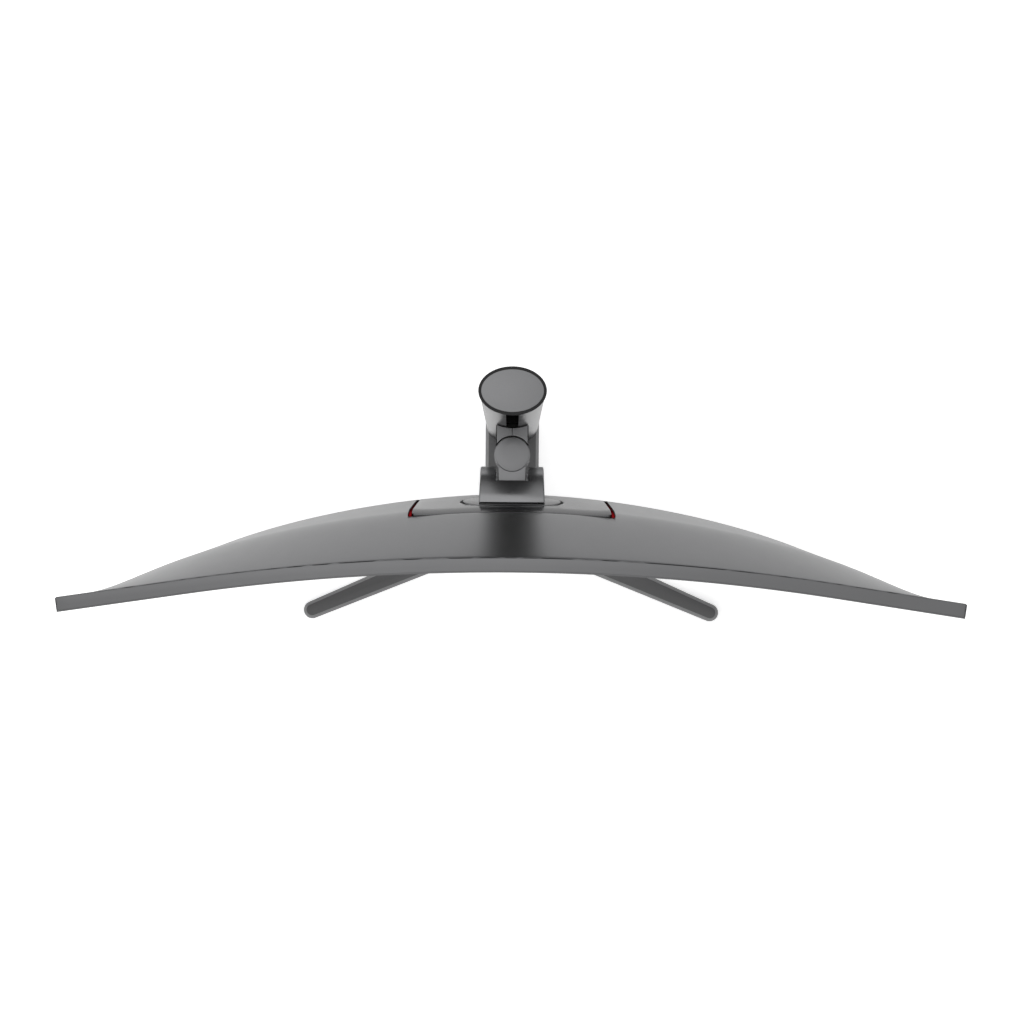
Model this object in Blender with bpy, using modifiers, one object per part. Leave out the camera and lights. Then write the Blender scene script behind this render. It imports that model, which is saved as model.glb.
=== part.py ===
"""A curved ultrawide computer monitor on a height-adjustable stand, built as the pieces that it would come
apart into: a display module, a tilt and swivel arm, a sprung lift in an oval column, and a two-legged base.

X runs to the viewer's right, Y to the rear and Z up. The screen faces -Y, and the floor is z = 0.
"""

import math

import bmesh
import bpy
from mathutils import Matrix, Vector

# ---- driving dimensions, in metres ----
GAP = 0.0003  # air between two pieces that touch

# Display module. Its front face is an arc that runs on straight near both ends.
SCREEN_RADIUS = 1.973
ARC_HALF = 0.290
HALF_LENGTH = 0.4044
FRONT_Y = -0.0622
BOTTOM_Z, TOP_Z = 0.042, 0.409
BAND_DEPTH = 0.0127
BAND_WALL = 0.002
CHIN_TOP_Z = 0.0657
STATIONS = 20  # flats that stand for the arc

# Rear cover: how far it stands out behind the band, down its middle
COVER_WALL = 0.0022
COVER_RIM = 0.001
COVER_FLATS = 12  # of the cover's arc on each side of the middle
BULGE_HALF_LENGTH = 0.372  # the bulge runs out this far from the middle,
BULGE_POWER, BULGE_ROOT = 1.6, 0.58  # along a rounded curve
CROWN_Z = 0.286  # above this height the flat centre rolls over to the top edge
LEAN = 0.14  # rearward lean of the flat centre, metres per metre of height
LEAN_Y, LEAN_Z = 0.007, 0.235  # a point on the leaning face
PANEL_HALF_X = 0.0962  # half width of the centre panel at the height LEAN_Z
OPENING_HALF_X = 0.0994
PANEL_TAPER = 0.13  # how much wider the panel is for each metre higher
PANEL_BOTTOM_Z, PANEL_TOP_Z = 0.166, 0.312
SHELF_Z = 0.150  # downward-facing shelf under the bulge, where the sockets are
DISC_RADIUS = 0.0508

# Tilt hinge and swivel
TILT_Y, TILT_Z = 0.023, 0.230
SWIVEL_Y = 0.0532
ARM_TOP_Z, ARM_BOTTOM_Z = 0.241, 0.211
KNUCKLE_Z = 0.2243  # where the front arm's boss turns on the rear arm
CAP_RADIUS = 0.0173
FRONT_ARM_HALF_X = 0.0138
REAR_ARM_HALF_X = 0.0163
HOOD_HALF_X = 0.032
HOOD_RADIUS = 0.038
HOOD_ROUND_Y, HOOD_ROUND_Z = 0.004, 0.217
HOOD_BOTTOM_Z = 0.195
HOOD_SLOT_Y = 0.0266

# Column and lift
COLUMN_Y = 0.1015
COLUMN_X, COLUMN_DEPTH = 0.030, 0.021  # half width and half depth of the oval
COLUMN_WALL = 0.003
COLUMN_LOW_Z, COLUMN_HIGH_Z = 0.0133, 0.3817
STAND_TOP_Z = 0.387
SLOT_HALF_X = 0.006
SLOT_LOW_Z, SLOT_HIGH_Z = 0.200, 0.377
CARRIAGE_LOW_Z, CARRIAGE_HIGH_Z = 0.193, 0.250
DRUM_Y, DRUM_Z, DRUM_RADIUS = 0.104, 0.182, 0.0092

# Base
BASE_LOW_Z, BASE_TOP_Z = 0.0023, 0.013
BASE_CHAMFER = 0.0026
BLOCK_HALF_X = 0.0311
BLOCK_REAR = 0.0236  # from the column's middle to the rear edge
TIP_X, TIP_Y, TIP_RADIUS = 0.231, -0.115, 0.0101
FRONT_SLOPE, REAR_SLOPE = 0.40, 0.448  # of a leg's two long edges
PAD_HEIGHT = 0.002
THUMB_Z = 0.0043  # height of the thumb screw's folding ring

# Joystick and power light under the bottom edge
STICK_Y, STICK_Z = -0.0546, 0.051
LENS_X = 0.030

# Holes and slots
THREAD_RADIUS = 0.0043  # clearance round the screw and the swivel pin
PIN_HOLE_RADIUS = 0.0033  # clearance round the tilt pin
AXLE_HOLE_RADIUS = 0.0031
BAY_LOW, BAY_HIGH = (-0.1745, -0.0365), (-0.0665, -0.0145)  # X and Y of the bay that the sockets open into
VENT_COUNT, VENT_X, VENT_PITCH, VENT_WIDTH = 7, 0.080, 0.012, 0.004
VENT_LOW_Y, VENT_HIGH_Y = -0.0320, -0.0150
SOCKET_FACE_Z, SOCKET_Y = 0.1592, -0.0255
JACK_X = -0.0725

parts = bpy.data.collections.new("computer_monitor")
cutters = bpy.data.collections.new("cutters")
materials = {}


# ---- scene and helpers ----
def start_scene():
    for old in list(bpy.data.objects):
        bpy.data.objects.remove(old, do_unlink=True)
    for collection in (parts, cutters):
        bpy.context.scene.collection.children.link(collection)


def material(name, colour, roughness, metallic=0.0):
    made = bpy.data.materials.new(name)
    made.use_nodes = True
    shader = made.node_tree.nodes["Principled BSDF"]
    shader.inputs["Base Color"].default_value = (*colour, 1.0)
    shader.inputs["Roughness"].default_value = roughness
    shader.inputs["Metallic"].default_value = metallic
    return made


def add_part(name, mesh, finish):
    """A node of the assembly: its own object, with its own material in the given finish."""
    part = bpy.data.objects.new(name, mesh)
    mesh.materials.clear()
    mesh.materials.append(material(name, *FINISHES[finish]))
    mesh.shade_smooth()
    mesh.set_sharp_from_angle(angle=math.radians(35))
    parts.objects.link(part)
    return part


def add_cutter(name, mesh):
    cutter = bpy.data.objects.new(name, mesh)
    cutter.hide_render = True
    cutter.display_type = "WIRE"
    cutters.objects.link(cutter)
    return cutter


def mesh_from(bm, name):
    mesh = bpy.data.meshes.new(name)
    bmesh.ops.recalc_face_normals(bm, faces=bm.faces)
    bm.to_mesh(mesh)
    bm.free()
    return mesh


def combine(target, tool, operation):
    """Cut tool from target, or join it on. The tool stays as a hidden object that follows the target."""
    boolean = target.modifiers.new(f"{operation.lower()} {tool.name}", "BOOLEAN")
    boolean.operation = operation
    boolean.solver = "EXACT"
    boolean.object = tool
    tool.parent = target
    return target


def cut(target, mesh):
    return combine(target, add_cutter(f"{mesh.name}_cutter", mesh), "DIFFERENCE")


def join(target, mesh):
    return combine(target, add_cutter(f"{mesh.name}_piece", mesh), "UNION")


def soften(part, width, segments=2):
    bevel = part.modifiers.new("soft edges", "BEVEL")
    bevel.width = width
    bevel.segments = segments
    bevel.limit_method = "ANGLE"
    bevel.angle_limit = math.radians(50)
    return part


def box(name, low, high):
    size = Vector(high) - Vector(low)
    centre = (Vector(high) + Vector(low)) / 2
    bm = bmesh.new()
    place = Matrix.Translation(centre) @ Matrix.Diagonal((*size, 1.0))
    bmesh.ops.create_cube(bm, size=1.0, matrix=place)
    return mesh_from(bm, name)


def oval(name, half_x, half_y, low_z, high_z, centre=(0.0, 0.0), sides=40):
    """An upright oval cylinder."""
    bm = bmesh.new()
    middle = Vector((*centre, (low_z + high_z) / 2))
    place = Matrix.Translation(middle) @ Matrix.Diagonal((half_x, half_y, 1.0, 1.0))
    bmesh.ops.create_cone(
        bm, cap_ends=True, segments=sides, radius1=1.0, radius2=1.0, depth=high_z - low_z, matrix=place
    )
    return mesh_from(bm, name)


def rod_x(name, radius, low_x, high_x, y, z, sides=20):
    """A cylinder that lies along X."""
    bm = bmesh.new()
    place = Matrix.Translation(((low_x + high_x) / 2, y, z)) @ Matrix.Rotation(math.pi / 2, 4, "Y")
    bmesh.ops.create_cone(
        bm, cap_ends=True, segments=sides, radius1=radius, radius2=radius, depth=high_x - low_x, matrix=place
    )
    return mesh_from(bm, name)


def arc(centre, radius, start, end, steps):
    """Points round an arc, from one angle to the other in degrees."""
    angles = [math.radians(start + (end - start) * i / steps) for i in range(steps + 1)]
    return [(centre[0] + radius * math.cos(a), centre[1] + radius * math.sin(a)) for a in angles]


def rounded(low, high, radius, steps=4):
    """A rectangle's outline with round corners."""
    corners = [(high[0], high[1], 0), (low[0], high[1], 90), (low[0], low[1], 180), (high[0], low[1], 270)]
    points = []
    for x, y, turn in corners:
        inner = (x - math.copysign(radius, x - (low[0] + high[0]) / 2),
                 y - math.copysign(radius, y - (low[1] + high[1]) / 2))
        points += arc(inner, radius, turn, turn + 90, steps)
    return points


def mesh_of_curve(curve, lift=0.0):
    """The solid that a curve draws, raised by lift."""
    drawn = bpy.data.objects.new(curve.name, curve)
    cutters.objects.link(drawn)
    bpy.context.view_layer.update()
    mesh = bpy.data.meshes.new_from_object(drawn.evaluated_get(bpy.context.evaluated_depsgraph_get()))
    mesh.name = curve.name
    bpy.data.objects.remove(drawn, do_unlink=True)
    bm = bmesh.new()
    bm.from_mesh(mesh)
    bmesh.ops.remove_doubles(bm, verts=bm.verts, dist=1e-6)
    bmesh.ops.translate(bm, verts=bm.verts, vec=(0.0, 0.0, lift))
    bmesh.ops.recalc_face_normals(bm, faces=bm.faces)
    bm.to_mesh(mesh)
    bm.free()
    return mesh


def plate(name, outlines, low, high):
    """A flat plate in the XY plane between two heights. A second outline is a hole."""
    curve = bpy.data.curves.new(name, "CURVE")
    curve.dimensions = "2D"
    curve.fill_mode = "BOTH"
    curve.extrude = (high - low) / 2
    for points in outlines:
        spline = curve.splines.new("POLY")
        spline.points.add(len(points) - 1)
        for point, (x, y) in zip(spline.points, points):
            point.co = (x, y, 0.0, 1.0)
        spline.use_cyclic_u = True
    return mesh_of_curve(curve, (low + high) / 2)


def reshape(mesh, rule):
    """Move every vertex by a rule, and point the faces outwards again."""
    bm = bmesh.new()
    bm.from_mesh(mesh)
    for vertex in bm.verts:
        vertex.co = rule(vertex.co)
    bm.normal_update()
    bmesh.ops.recalc_face_normals(bm, faces=bm.faces)
    bm.to_mesh(mesh)
    bm.free()
    return mesh


def profile_along_x(name, outline, low_x, high_x):
    """A side profile, given as Y and Z, drawn out along X."""
    return reshape(plate(name, [outline], low_x, high_x), lambda p: Vector((p.z, p.x, p.y)))


def trimmed(mesh, point, normal):
    """The part of a solid behind a plane, closed where it was cut."""
    bm = bmesh.new()
    bm.from_mesh(mesh)
    geometry = bm.verts[:] + bm.edges[:] + bm.faces[:]
    bmesh.ops.bisect_plane(bm, geom=geometry, plane_co=point, plane_no=normal, clear_outer=True)
    bmesh.ops.holes_fill(bm, edges=[e for e in bm.edges if e.is_boundary])
    bmesh.ops.recalc_face_normals(bm, faces=bm.faces)
    bm.to_mesh(mesh)
    bm.free()
    return mesh


def on_curve(s, t):
    """X and Y of the point that is s along the front face from its middle, and t behind it."""
    bent = min(abs(s), ARC_HALF)
    angle = bent / SCREEN_RADIUS
    straight = abs(s) - bent
    radius = SCREEN_RADIUS + t
    x = radius * math.sin(angle) + straight * math.cos(angle)
    y = FRONT_Y - SCREEN_RADIUS + radius * math.cos(angle) - straight * math.sin(angle)
    return math.copysign(x, s), y


def lean_depth(z):
    """How far the leaning rear face is behind the front face, down the middle."""
    return LEAN_Y + (LEAN_Z - z) * LEAN - FRONT_Y


def divided(mesh, axis, places):
    """The mesh with its faces divided by planes across one axis, so that it can bend there."""
    bm = bmesh.new()
    bm.from_mesh(mesh)
    normal = [float(i == axis) for i in range(3)]
    for place in places:
        if min(v.co[axis] for v in bm.verts) < place < max(v.co[axis] for v in bm.verts):
            point = [place * n for n in normal]
            geometry = bm.verts[:] + bm.edges[:] + bm.faces[:]
            bmesh.ops.bisect_plane(bm, geom=geometry, plane_co=point, plane_no=normal)
    bm.to_mesh(mesh)
    bm.free()
    return mesh


def stations():
    return [ARC_HALF * (2 * i / STATIONS - 1) for i in range(STATIONS + 1)]


def curved_plate(name, outlines, front, back):
    """A plate drawn flat, as distance along the screen and height, then bent to the screen's curve."""
    mesh = divided(plate(name, outlines, front, back), 0, stations())
    return reshape(mesh, lambda p: Vector((*on_curve(p.x, p.z), p.y)))


def panel_plate(name, outline, front, back):
    """A plate in the cover's rear face, drawn flat as X and Z. Its depths count rearwards from that face.

    The face is flatter than the cover near the panel's top, so its upper corners stand a little proud.
    """
    mesh = plate(name, [outline], front, back)
    mesh = divided(divided(mesh, 0, stations()), 1, [z for z, _ in cover_profile()])

    def lay(p):
        x = p.x * panel_width(p.y)
        middle = face_depth(p.y)
        s = x * SCREEN_RADIUS / (SCREEN_RADIUS + BAND_DEPTH + middle)
        blend = (PANEL_TOP_Z - p.y) / (PANEL_TOP_Z - PANEL_BOTTOM_Z)
        share = 1 - blend * (1 - bulge_share(s))
        depth = BAND_DEPTH + GAP + COVER_RIM + (middle - COVER_RIM) * share + p.z
        return Vector((*on_curve(s, depth), p.y))

    return reshape(mesh, lay)


def panel_width(z):
    """The panel's width at a height, as a share of its width at LEAN_Z."""
    return 1 + PANEL_TAPER * (z - LEAN_Z)


def bulge_share(s):
    """How much of the middle's bulge is left at a distance along the screen."""
    reach = min(abs(s) / BULGE_HALF_LENGTH, 1.0)
    return (1 - reach**BULGE_POWER) ** BULGE_ROOT


def face_depth(z):
    """The rear cover's depth behind the band at a height, down its middle, between the profile's points."""
    face = [point for point in cover_profile() if point[0] > SHELF_Z]
    for (low, low_depth), (high, high_depth) in zip(face, face[1:]):
        if z <= high:
            return low_depth + (high_depth - low_depth) * (z - low) / (high - low)
    return face[-1][1]


# ---- stand ----
def leg(side):
    """One leg, from the block to its round tip. side is 1 on the right and -1 on the left."""
    front = Vector((-FRONT_SLOPE, -1.0)).normalized()
    rear = Vector((REAR_SLOPE, 1.0)).normalized()
    tip = Vector((TIP_X, TIP_Y))
    start = math.degrees(math.atan2(front.y, front.x))
    end = math.degrees(math.atan2(rear.y, rear.x))
    root_x = BLOCK_HALF_X + GAP
    front_end = tip + TIP_RADIUS * front
    rear_end = tip + TIP_RADIUS * rear
    outline = [(root_x, front_end.y + FRONT_SLOPE * (front_end.x - root_x))]
    outline += arc(tip, TIP_RADIUS, start, end, 12)
    outline += [(root_x, rear_end.y + REAR_SLOPE * (rear_end.x - root_x))]
    name = "right_leg" if side > 0 else "left_leg"
    mesh = plate(name, [[(side * x, y) for x, y in outline]], BASE_LOW_Z, BASE_TOP_Z)
    chamfer_top(mesh, lambda x, y: abs(x) > root_x + GAP)
    return add_part(name, mesh, "dark paint")


def chamfer_top(mesh, keep):
    """A flat chamfer round the top edge, wherever keep(x, y) is true of an edge's middle."""
    bm = bmesh.new()
    bm.from_mesh(mesh)
    bmesh.ops.dissolve_limit(bm, angle_limit=0.01, verts=bm.verts, edges=bm.edges)
    edges = []
    for edge in bm.edges:
        a, b = (v.co for v in edge.verts)
        on_top = min(a.z, b.z) > BASE_TOP_Z - 1e-6
        if on_top and not edge.is_boundary and keep((a.x + b.x) / 2, (a.y + b.y) / 2):
            edges.append(edge)
    bmesh.ops.bevel(bm, geom=edges, offset=BASE_CHAMFER, segments=1, affect="EDGES", clamp_overlap=False)
    bmesh.ops.recalc_face_normals(bm, faces=bm.faces)
    bm.to_mesh(mesh)
    bm.free()


def base_block():
    """The middle of the base, from the fork of the legs to the rounded rear under the column."""
    tip_front = Vector((TIP_X, TIP_Y)) + TIP_RADIUS * Vector((-FRONT_SLOPE, -1.0)).normalized()
    tip_rear = Vector((TIP_X, TIP_Y)) + TIP_RADIUS * Vector((REAR_SLOPE, 1.0)).normalized()
    fork_y = tip_front.y + FRONT_SLOPE * tip_front.x
    front_y = tip_front.y + FRONT_SLOPE * (tip_front.x - BLOCK_HALF_X)
    shoulder_y = tip_rear.y + REAR_SLOPE * (tip_rear.x - BLOCK_HALF_X)
    turns = [math.pi * i / 20 for i in range(21)]
    rear = [(BLOCK_HALF_X * math.cos(a), COLUMN_Y + BLOCK_REAR * math.sin(a)) for a in turns]
    outline = [(0.0, fork_y), (BLOCK_HALF_X, front_y), (BLOCK_HALF_X, shoulder_y), *rear,
               (-BLOCK_HALF_X, shoulder_y), (-BLOCK_HALF_X, front_y)]
    mesh = plate("base_block", [outline], BASE_LOW_Z, BASE_TOP_Z)

    def outside(x, y):
        return abs(x) < BLOCK_HALF_X - GAP or y > shoulder_y + GAP

    chamfer_top(mesh, outside)
    block = add_part("base_block", mesh, "dark paint")
    cut(block, oval("thumb_recess", 0.0120, 0.0120, 0.0, 0.0090, (0.0, COLUMN_Y), 28))
    cut(block, oval("thumb_hole", THREAD_RADIUS, THREAD_RADIUS, 0.0080, 0.0200, (0.0, COLUMN_Y), 20))


def foot_pads():
    places = {
        "foot_pad_front_left": (-TIP_X, TIP_Y, 0.0075),
        "foot_pad_front_right": (TIP_X, TIP_Y, 0.0075),
        "foot_pad_rear_left": (-0.019, COLUMN_Y + 0.0075, 0.0050),
        "foot_pad_rear_right": (0.019, COLUMN_Y + 0.0075, 0.0050),
    }
    for name, (x, y, radius) in places.items():
        add_part(name, oval(name, radius, radius, 0.0, PAD_HEIGHT, (x, y), 20), "rubber")


def column():
    tube = add_part(
        "column_tube",
        oval("column_tube", COLUMN_X, COLUMN_DEPTH, COLUMN_LOW_Z, COLUMN_HIGH_Z, (0.0, COLUMN_Y), 56),
        "grey paint",
    )
    inner_x, inner_y = COLUMN_X - COLUMN_WALL, COLUMN_DEPTH - COLUMN_WALL
    cut(tube, oval("column_bore", inner_x, inner_y, 0.0, 0.4, (0.0, COLUMN_Y), 56))
    slot_low, slot_high = (-SLOT_HALF_X, 0.070, SLOT_LOW_Z), (SLOT_HALF_X, COLUMN_Y - 0.010, SLOT_HIGH_Z)
    cut(tube, box("lift_slot", slot_low, slot_high))
    rim_low = COLUMN_HIGH_Z + GAP
    rim_x, rim_y = COLUMN_X + 0.001, COLUMN_DEPTH + 0.001
    rim_mesh = oval("column_rim", rim_x, rim_y, rim_low, STAND_TOP_Z, (0.0, COLUMN_Y), 56)
    rim = add_part("column_rim", rim_mesh, "dark paint")
    cut(rim, oval("rim_bore", rim_x - 0.0022, rim_y - 0.0022, 0.37, 0.40, (0.0, COLUMN_Y), 56))
    cap_x, cap_y = rim_x - 0.0025, rim_y - 0.0025
    cap = oval("column_cap", cap_x, cap_y, rim_low + 0.001, STAND_TOP_Z - 0.0004, (0.0, COLUMN_Y), 56)
    add_part("column_cap", cap, "grey paint")
    plate_x, plate_y = inner_x - 0.0008, inner_y - 0.0008
    foot_mesh = oval("column_foot_plate", plate_x, plate_y, 0.0145, 0.0205, (0.0, COLUMN_Y))
    foot = add_part("column_foot_plate", foot_mesh, "steel")
    cut(foot, oval("foot_thread", THREAD_RADIUS, THREAD_RADIUS, 0.0100, 0.0300, (0.0, COLUMN_Y), 20))


def lift_guide():
    rail_y = COLUMN_Y + 0.0129
    rail = box("guide_rail", (-0.009, rail_y, 0.022), (0.009, rail_y + 0.0026, 0.372))
    add_part("guide_rail", rail, "steel")
    anchor = box("spring_anchor", (-0.009, rail_y, 0.3732), (0.009, rail_y + 0.0021, 0.380))
    add_part("spring_anchor", anchor, "steel")


def thumb_screw():
    """The captive screw that holds the column to the base, with a ring that folds flat."""
    screw = add_part(
        "thumb_screw", oval("thumb_screw", 0.0095, 0.0095, 0.0055, 0.0085, (0.0, COLUMN_Y), 28), "steel"
    )
    join(screw, oval("screw_shank", 0.0039, 0.0039, 0.0080, 0.0240, (0.0, COLUMN_Y), 20))
    for side in (-1, 1):
        lug_low = (side * 0.0082 - 0.0008, COLUMN_Y - 0.0015, 0.0030)
        lug_high = (side * 0.0082 + 0.0008, COLUMN_Y + 0.0015, 0.0060)
        join(screw, box("ring_lug", lug_low, lug_high))
    wire = bpy.data.curves.new("thumb_ring", "CURVE")
    wire.dimensions = "3D"
    wire.bevel_depth = 0.0007
    wire.bevel_resolution = 1
    wire.use_fill_caps = True
    wire.render_resolution_u = 0
    bow = arc((0.0, COLUMN_Y), 0.0064, 0, 180, 12)
    spline = wire.splines.new("POLY")
    spline.points.add(len(bow) - 1)
    for point, (x, y) in zip(spline.points, bow):
        point.co = (x, y, THUMB_Z, 1.0)
    add_part("thumb_ring", mesh_of_curve(wire), "steel")


# ---- lift carriage and arm ----
def carriage():
    half_x, half_y = COLUMN_X - COLUMN_WALL - 0.0008, COLUMN_DEPTH - COLUMN_WALL - 0.0008
    mesh = oval("slider_carriage", half_x, half_y, CARRIAGE_LOW_Z, CARRIAGE_HIGH_Z, (0.0, COLUMN_Y))
    mesh = trimmed(mesh, (0.0, COLUMN_Y + 0.0116, 0.0), (0.0, 1.0, 0.0))
    block = add_part("slider_carriage", mesh, "dark plastic")
    lug_high_z = CARRIAGE_LOW_Z + 0.002
    for side in (-1, 1):
        inner, outer = sorted((side * 0.0090, side * 0.0125))
        lug = box("drum_lug", (inner, DRUM_Y - 0.006, DRUM_Z - 0.007), (outer, DRUM_Y + 0.006, lug_high_z))
        join(block, lug)
    cut(block, rod_x("axle_hole", AXLE_HOLE_RADIUS, -0.02, 0.02, DRUM_Y, DRUM_Z))
    add_part("drum_axle", rod_x("drum_axle", 0.0028, -0.0125, 0.0125, DRUM_Y, DRUM_Z), "steel")
    drum = add_part(
        "spring_drum", rod_x("spring_drum", DRUM_RADIUS, -0.0085, 0.0085, DRUM_Y, DRUM_Z, 32), "spring steel"
    )
    cut(drum, rod_x("drum_bore", AXLE_HOLE_RADIUS, -0.02, 0.02, DRUM_Y, DRUM_Z))
    strip_y = DRUM_Y + DRUM_RADIUS + GAP
    strip = box("spring_strip", (-0.0075, strip_y, DRUM_Z), (0.0075, strip_y + 0.0005, 0.380))
    add_part("spring_strip", strip, "spring steel")


def rear_arm():
    """The arm that leaves the column through its slot and carries the swivel."""
    arm = add_part(
        "rear_arm",
        box("rear_arm", (-REAR_ARM_HALF_X, SWIVEL_Y, ARM_BOTTOM_Z), (REAR_ARM_HALF_X, 0.0850, ARM_TOP_Z)),
        "grey paint",
    )
    cut(arm, oval("column_clearance", COLUMN_X + 0.0004, COLUMN_DEPTH + 0.0004, 0.2, 0.25, (0, COLUMN_Y), 56))
    cut(arm, oval("boss_seat", 0.0188, 0.0188, KNUCKLE_Z, 0.25, (0.0, SWIVEL_Y)))
    join(arm, oval("lower_knuckle", 0.0183, 0.0183, ARM_BOTTOM_Z, KNUCKLE_Z, (0.0, SWIVEL_Y)))
    join(arm, box("tongue", (-0.0052, 0.0740, 0.2130), (0.0052, COLUMN_Y - 0.0175, 0.2390)))
    cut(arm, oval("bushing_hole", 0.0063, 0.0063, 0.2, KNUCKLE_Z + 0.01, (0.0, SWIVEL_Y), 24))
    bushing = add_part(
        "swivel_bushing",
        oval("swivel_bushing", 0.0060, 0.0060, ARM_BOTTOM_Z + GAP, KNUCKLE_Z - GAP, (0.0, SWIVEL_Y), 24),
        "dark plastic",
    )
    cut(bushing, oval("bushing_bore", THREAD_RADIUS, THREAD_RADIUS, 0.2, 0.25, (0.0, SWIVEL_Y), 24))


def front_arm():
    """The boss that turns on the rear arm, and the neck that reaches into the hood to the tilt pin."""
    boss_top = ARM_TOP_Z - 0.0033
    arm = add_part(
        "front_arm",
        oval("front_arm", CAP_RADIUS, CAP_RADIUS, KNUCKLE_Z + GAP, boss_top, (0.0, SWIVEL_Y)),
        "grey paint",
    )
    barrel = ARM_TOP_Z - TILT_Z
    outline = [(SWIVEL_Y - 0.0030, ARM_TOP_Z), *arc((TILT_Y, TILT_Z), barrel, 90, 270, 14),
               (SWIVEL_Y - 0.0030, TILT_Z - barrel)]
    neck = profile_along_x("neck", outline, -FRONT_ARM_HALF_X, FRONT_ARM_HALF_X)
    join(arm, neck)
    cut(arm, oval("cap_seat", CAP_RADIUS + 0.0004, CAP_RADIUS + 0.0004, boss_top, 0.25, (0.0, SWIVEL_Y)))
    cut(arm, oval("knuckle_clearance", 0.0188, 0.0188, 0.2, KNUCKLE_Z + GAP, (0.0, SWIVEL_Y)))
    cut(arm, oval("swivel_hole", THREAD_RADIUS, THREAD_RADIUS, 0.2, 0.25, (0.0, SWIVEL_Y), 24))
    cut(arm, rod_x("tilt_hole", PIN_HOLE_RADIUS, -0.03, 0.03, TILT_Y, TILT_Z))
    cap = oval("swivel_cap", CAP_RADIUS, CAP_RADIUS, boss_top + 0.0005, ARM_TOP_Z, (0.0, SWIVEL_Y))
    add_part("swivel_cap", cap, "grey paint")
    pin = oval("swivel_pin", 0.0040, 0.0040, ARM_BOTTOM_Z - 0.0025, boss_top, (0.0, SWIVEL_Y), 24)
    add_part("swivel_pin", pin, "steel")
    tilt_pin = add_part("tilt_pin", rod_x("tilt_pin", 0.0030, -0.0190, 0.0190, TILT_Y, TILT_Z), "steel")
    for side, name in ((-1, "friction_washer_left"), (1, "friction_washer_right")):
        low, high = sorted((side * 0.0181, side * 0.0210))
        join(tilt_pin, rod_x("pin_head", 0.0055, low, high, TILT_Y, TILT_Z))
        low, high = sorted((side * 0.0168, side * 0.0178))
        washer = add_part(name, rod_x(name, 0.0068, low, high, TILT_Y, TILT_Z), "steel")
        cut(washer, rod_x("washer_bore", PIN_HOLE_RADIUS, -0.03, 0.03, TILT_Y, TILT_Z))


# ---- tilt bracket and its hood ----
def leaning_plane(offset):
    """A point on the plane that leans with the display's rear face and stands offset behind it."""
    return (0.0, LEAN_Y + offset, LEAN_Z)


def behind_face(mesh, offset):
    """Keep what is to the rear of the leaning face."""
    return trimmed(mesh, leaning_plane(offset), (0.0, -1.0, -LEAN))


def tilt_bracket():
    base = box("tilt_bracket", (-0.026, LEAN_Y + GAP, 0.203), (0.026, LEAN_Y + 0.003, 0.247))
    base = reshape(base, lambda p: Vector((p.x, p.y + (LEAN_Z - p.z) * LEAN, p.z)))
    bracket = add_part("tilt_bracket", base, "steel")
    ear = 0.0115
    outline = [*arc((TILT_Y, TILT_Z), ear, 90, -90, 12), (0.004, TILT_Z - ear), (0.004, TILT_Z + ear)]
    for side in (-1, 1):
        low, high = sorted((side * 0.0145, side * 0.0165))
        join(bracket, behind_face(profile_along_x("ear", outline, low, high), GAP))
    cut(bracket, rod_x("ear_hole", PIN_HOLE_RADIUS, -0.03, 0.03, TILT_Y, TILT_Z))


def hood_outline(inset):
    """The hood from the side, as Y and Z: a quarter round over the hinge, then a rounded underside."""
    top = arc((HOOD_ROUND_Y, HOOD_ROUND_Z), HOOD_RADIUS - inset, 90, 0, 12)
    rear_y = HOOD_ROUND_Y + HOOD_RADIUS
    low = arc((rear_y - 0.010, HOOD_BOTTOM_Z + 0.010), 0.010 - inset, 0, -90, 5)
    return [(-0.010, HOOD_ROUND_Z + HOOD_RADIUS - inset), *top, *low, (-0.010, HOOD_BOTTOM_Z + inset)]


def hinge_hood():
    wall = 0.0025
    outer = profile_along_x("hinge_hood", hood_outline(0.0), -HOOD_HALF_X, HOOD_HALF_X)
    hood = add_part("hinge_hood", behind_face(outer, GAP), "grey paint")
    cut(hood, profile_along_x("hood_hollow", hood_outline(wall), wall - HOOD_HALF_X, HOOD_HALF_X - wall))
    cut(hood, box("arm_slot", (-0.0168, HOOD_SLOT_Y, 0.18), (0.0168, 0.06, 0.27)))


def mount_disc():
    bm = bmesh.new()
    place = Matrix.Translation((0.0, LEAN_Y - 0.0015, LEAN_Z)) @ Matrix.Rotation(math.pi / 2, 4, "X")
    bmesh.ops.create_cone(
        bm, cap_ends=True, segments=56, radius1=DISC_RADIUS, radius2=DISC_RADIUS, depth=0.003, matrix=place
    )
    mesh = reshape(mesh_from(bm, "mount_disc"), lambda p: Vector((p.x, p.y + (LEAN_Z - p.z) * LEAN, p.z)))
    add_part("mount_disc", mesh, "grey paint")


def mount_frame():
    """The folded steel frame behind the disc that carries the display's weight to the backplane."""
    foot_y, face_y, sheet = -0.0540, -0.0045, 0.0018
    half = [(0.0, face_y), (0.055, face_y), (0.055, foot_y + sheet), (0.070, foot_y + sheet), (0.070, foot_y),
            (0.055 - sheet, foot_y), (0.055 - sheet, face_y - sheet), (0.0, face_y - sheet)]
    outline = half + [(-x, y) for x, y in reversed(half[1:-1])]
    add_part("mount_frame", plate("mount_frame", [outline], 0.185, 0.285), "steel")


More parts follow.
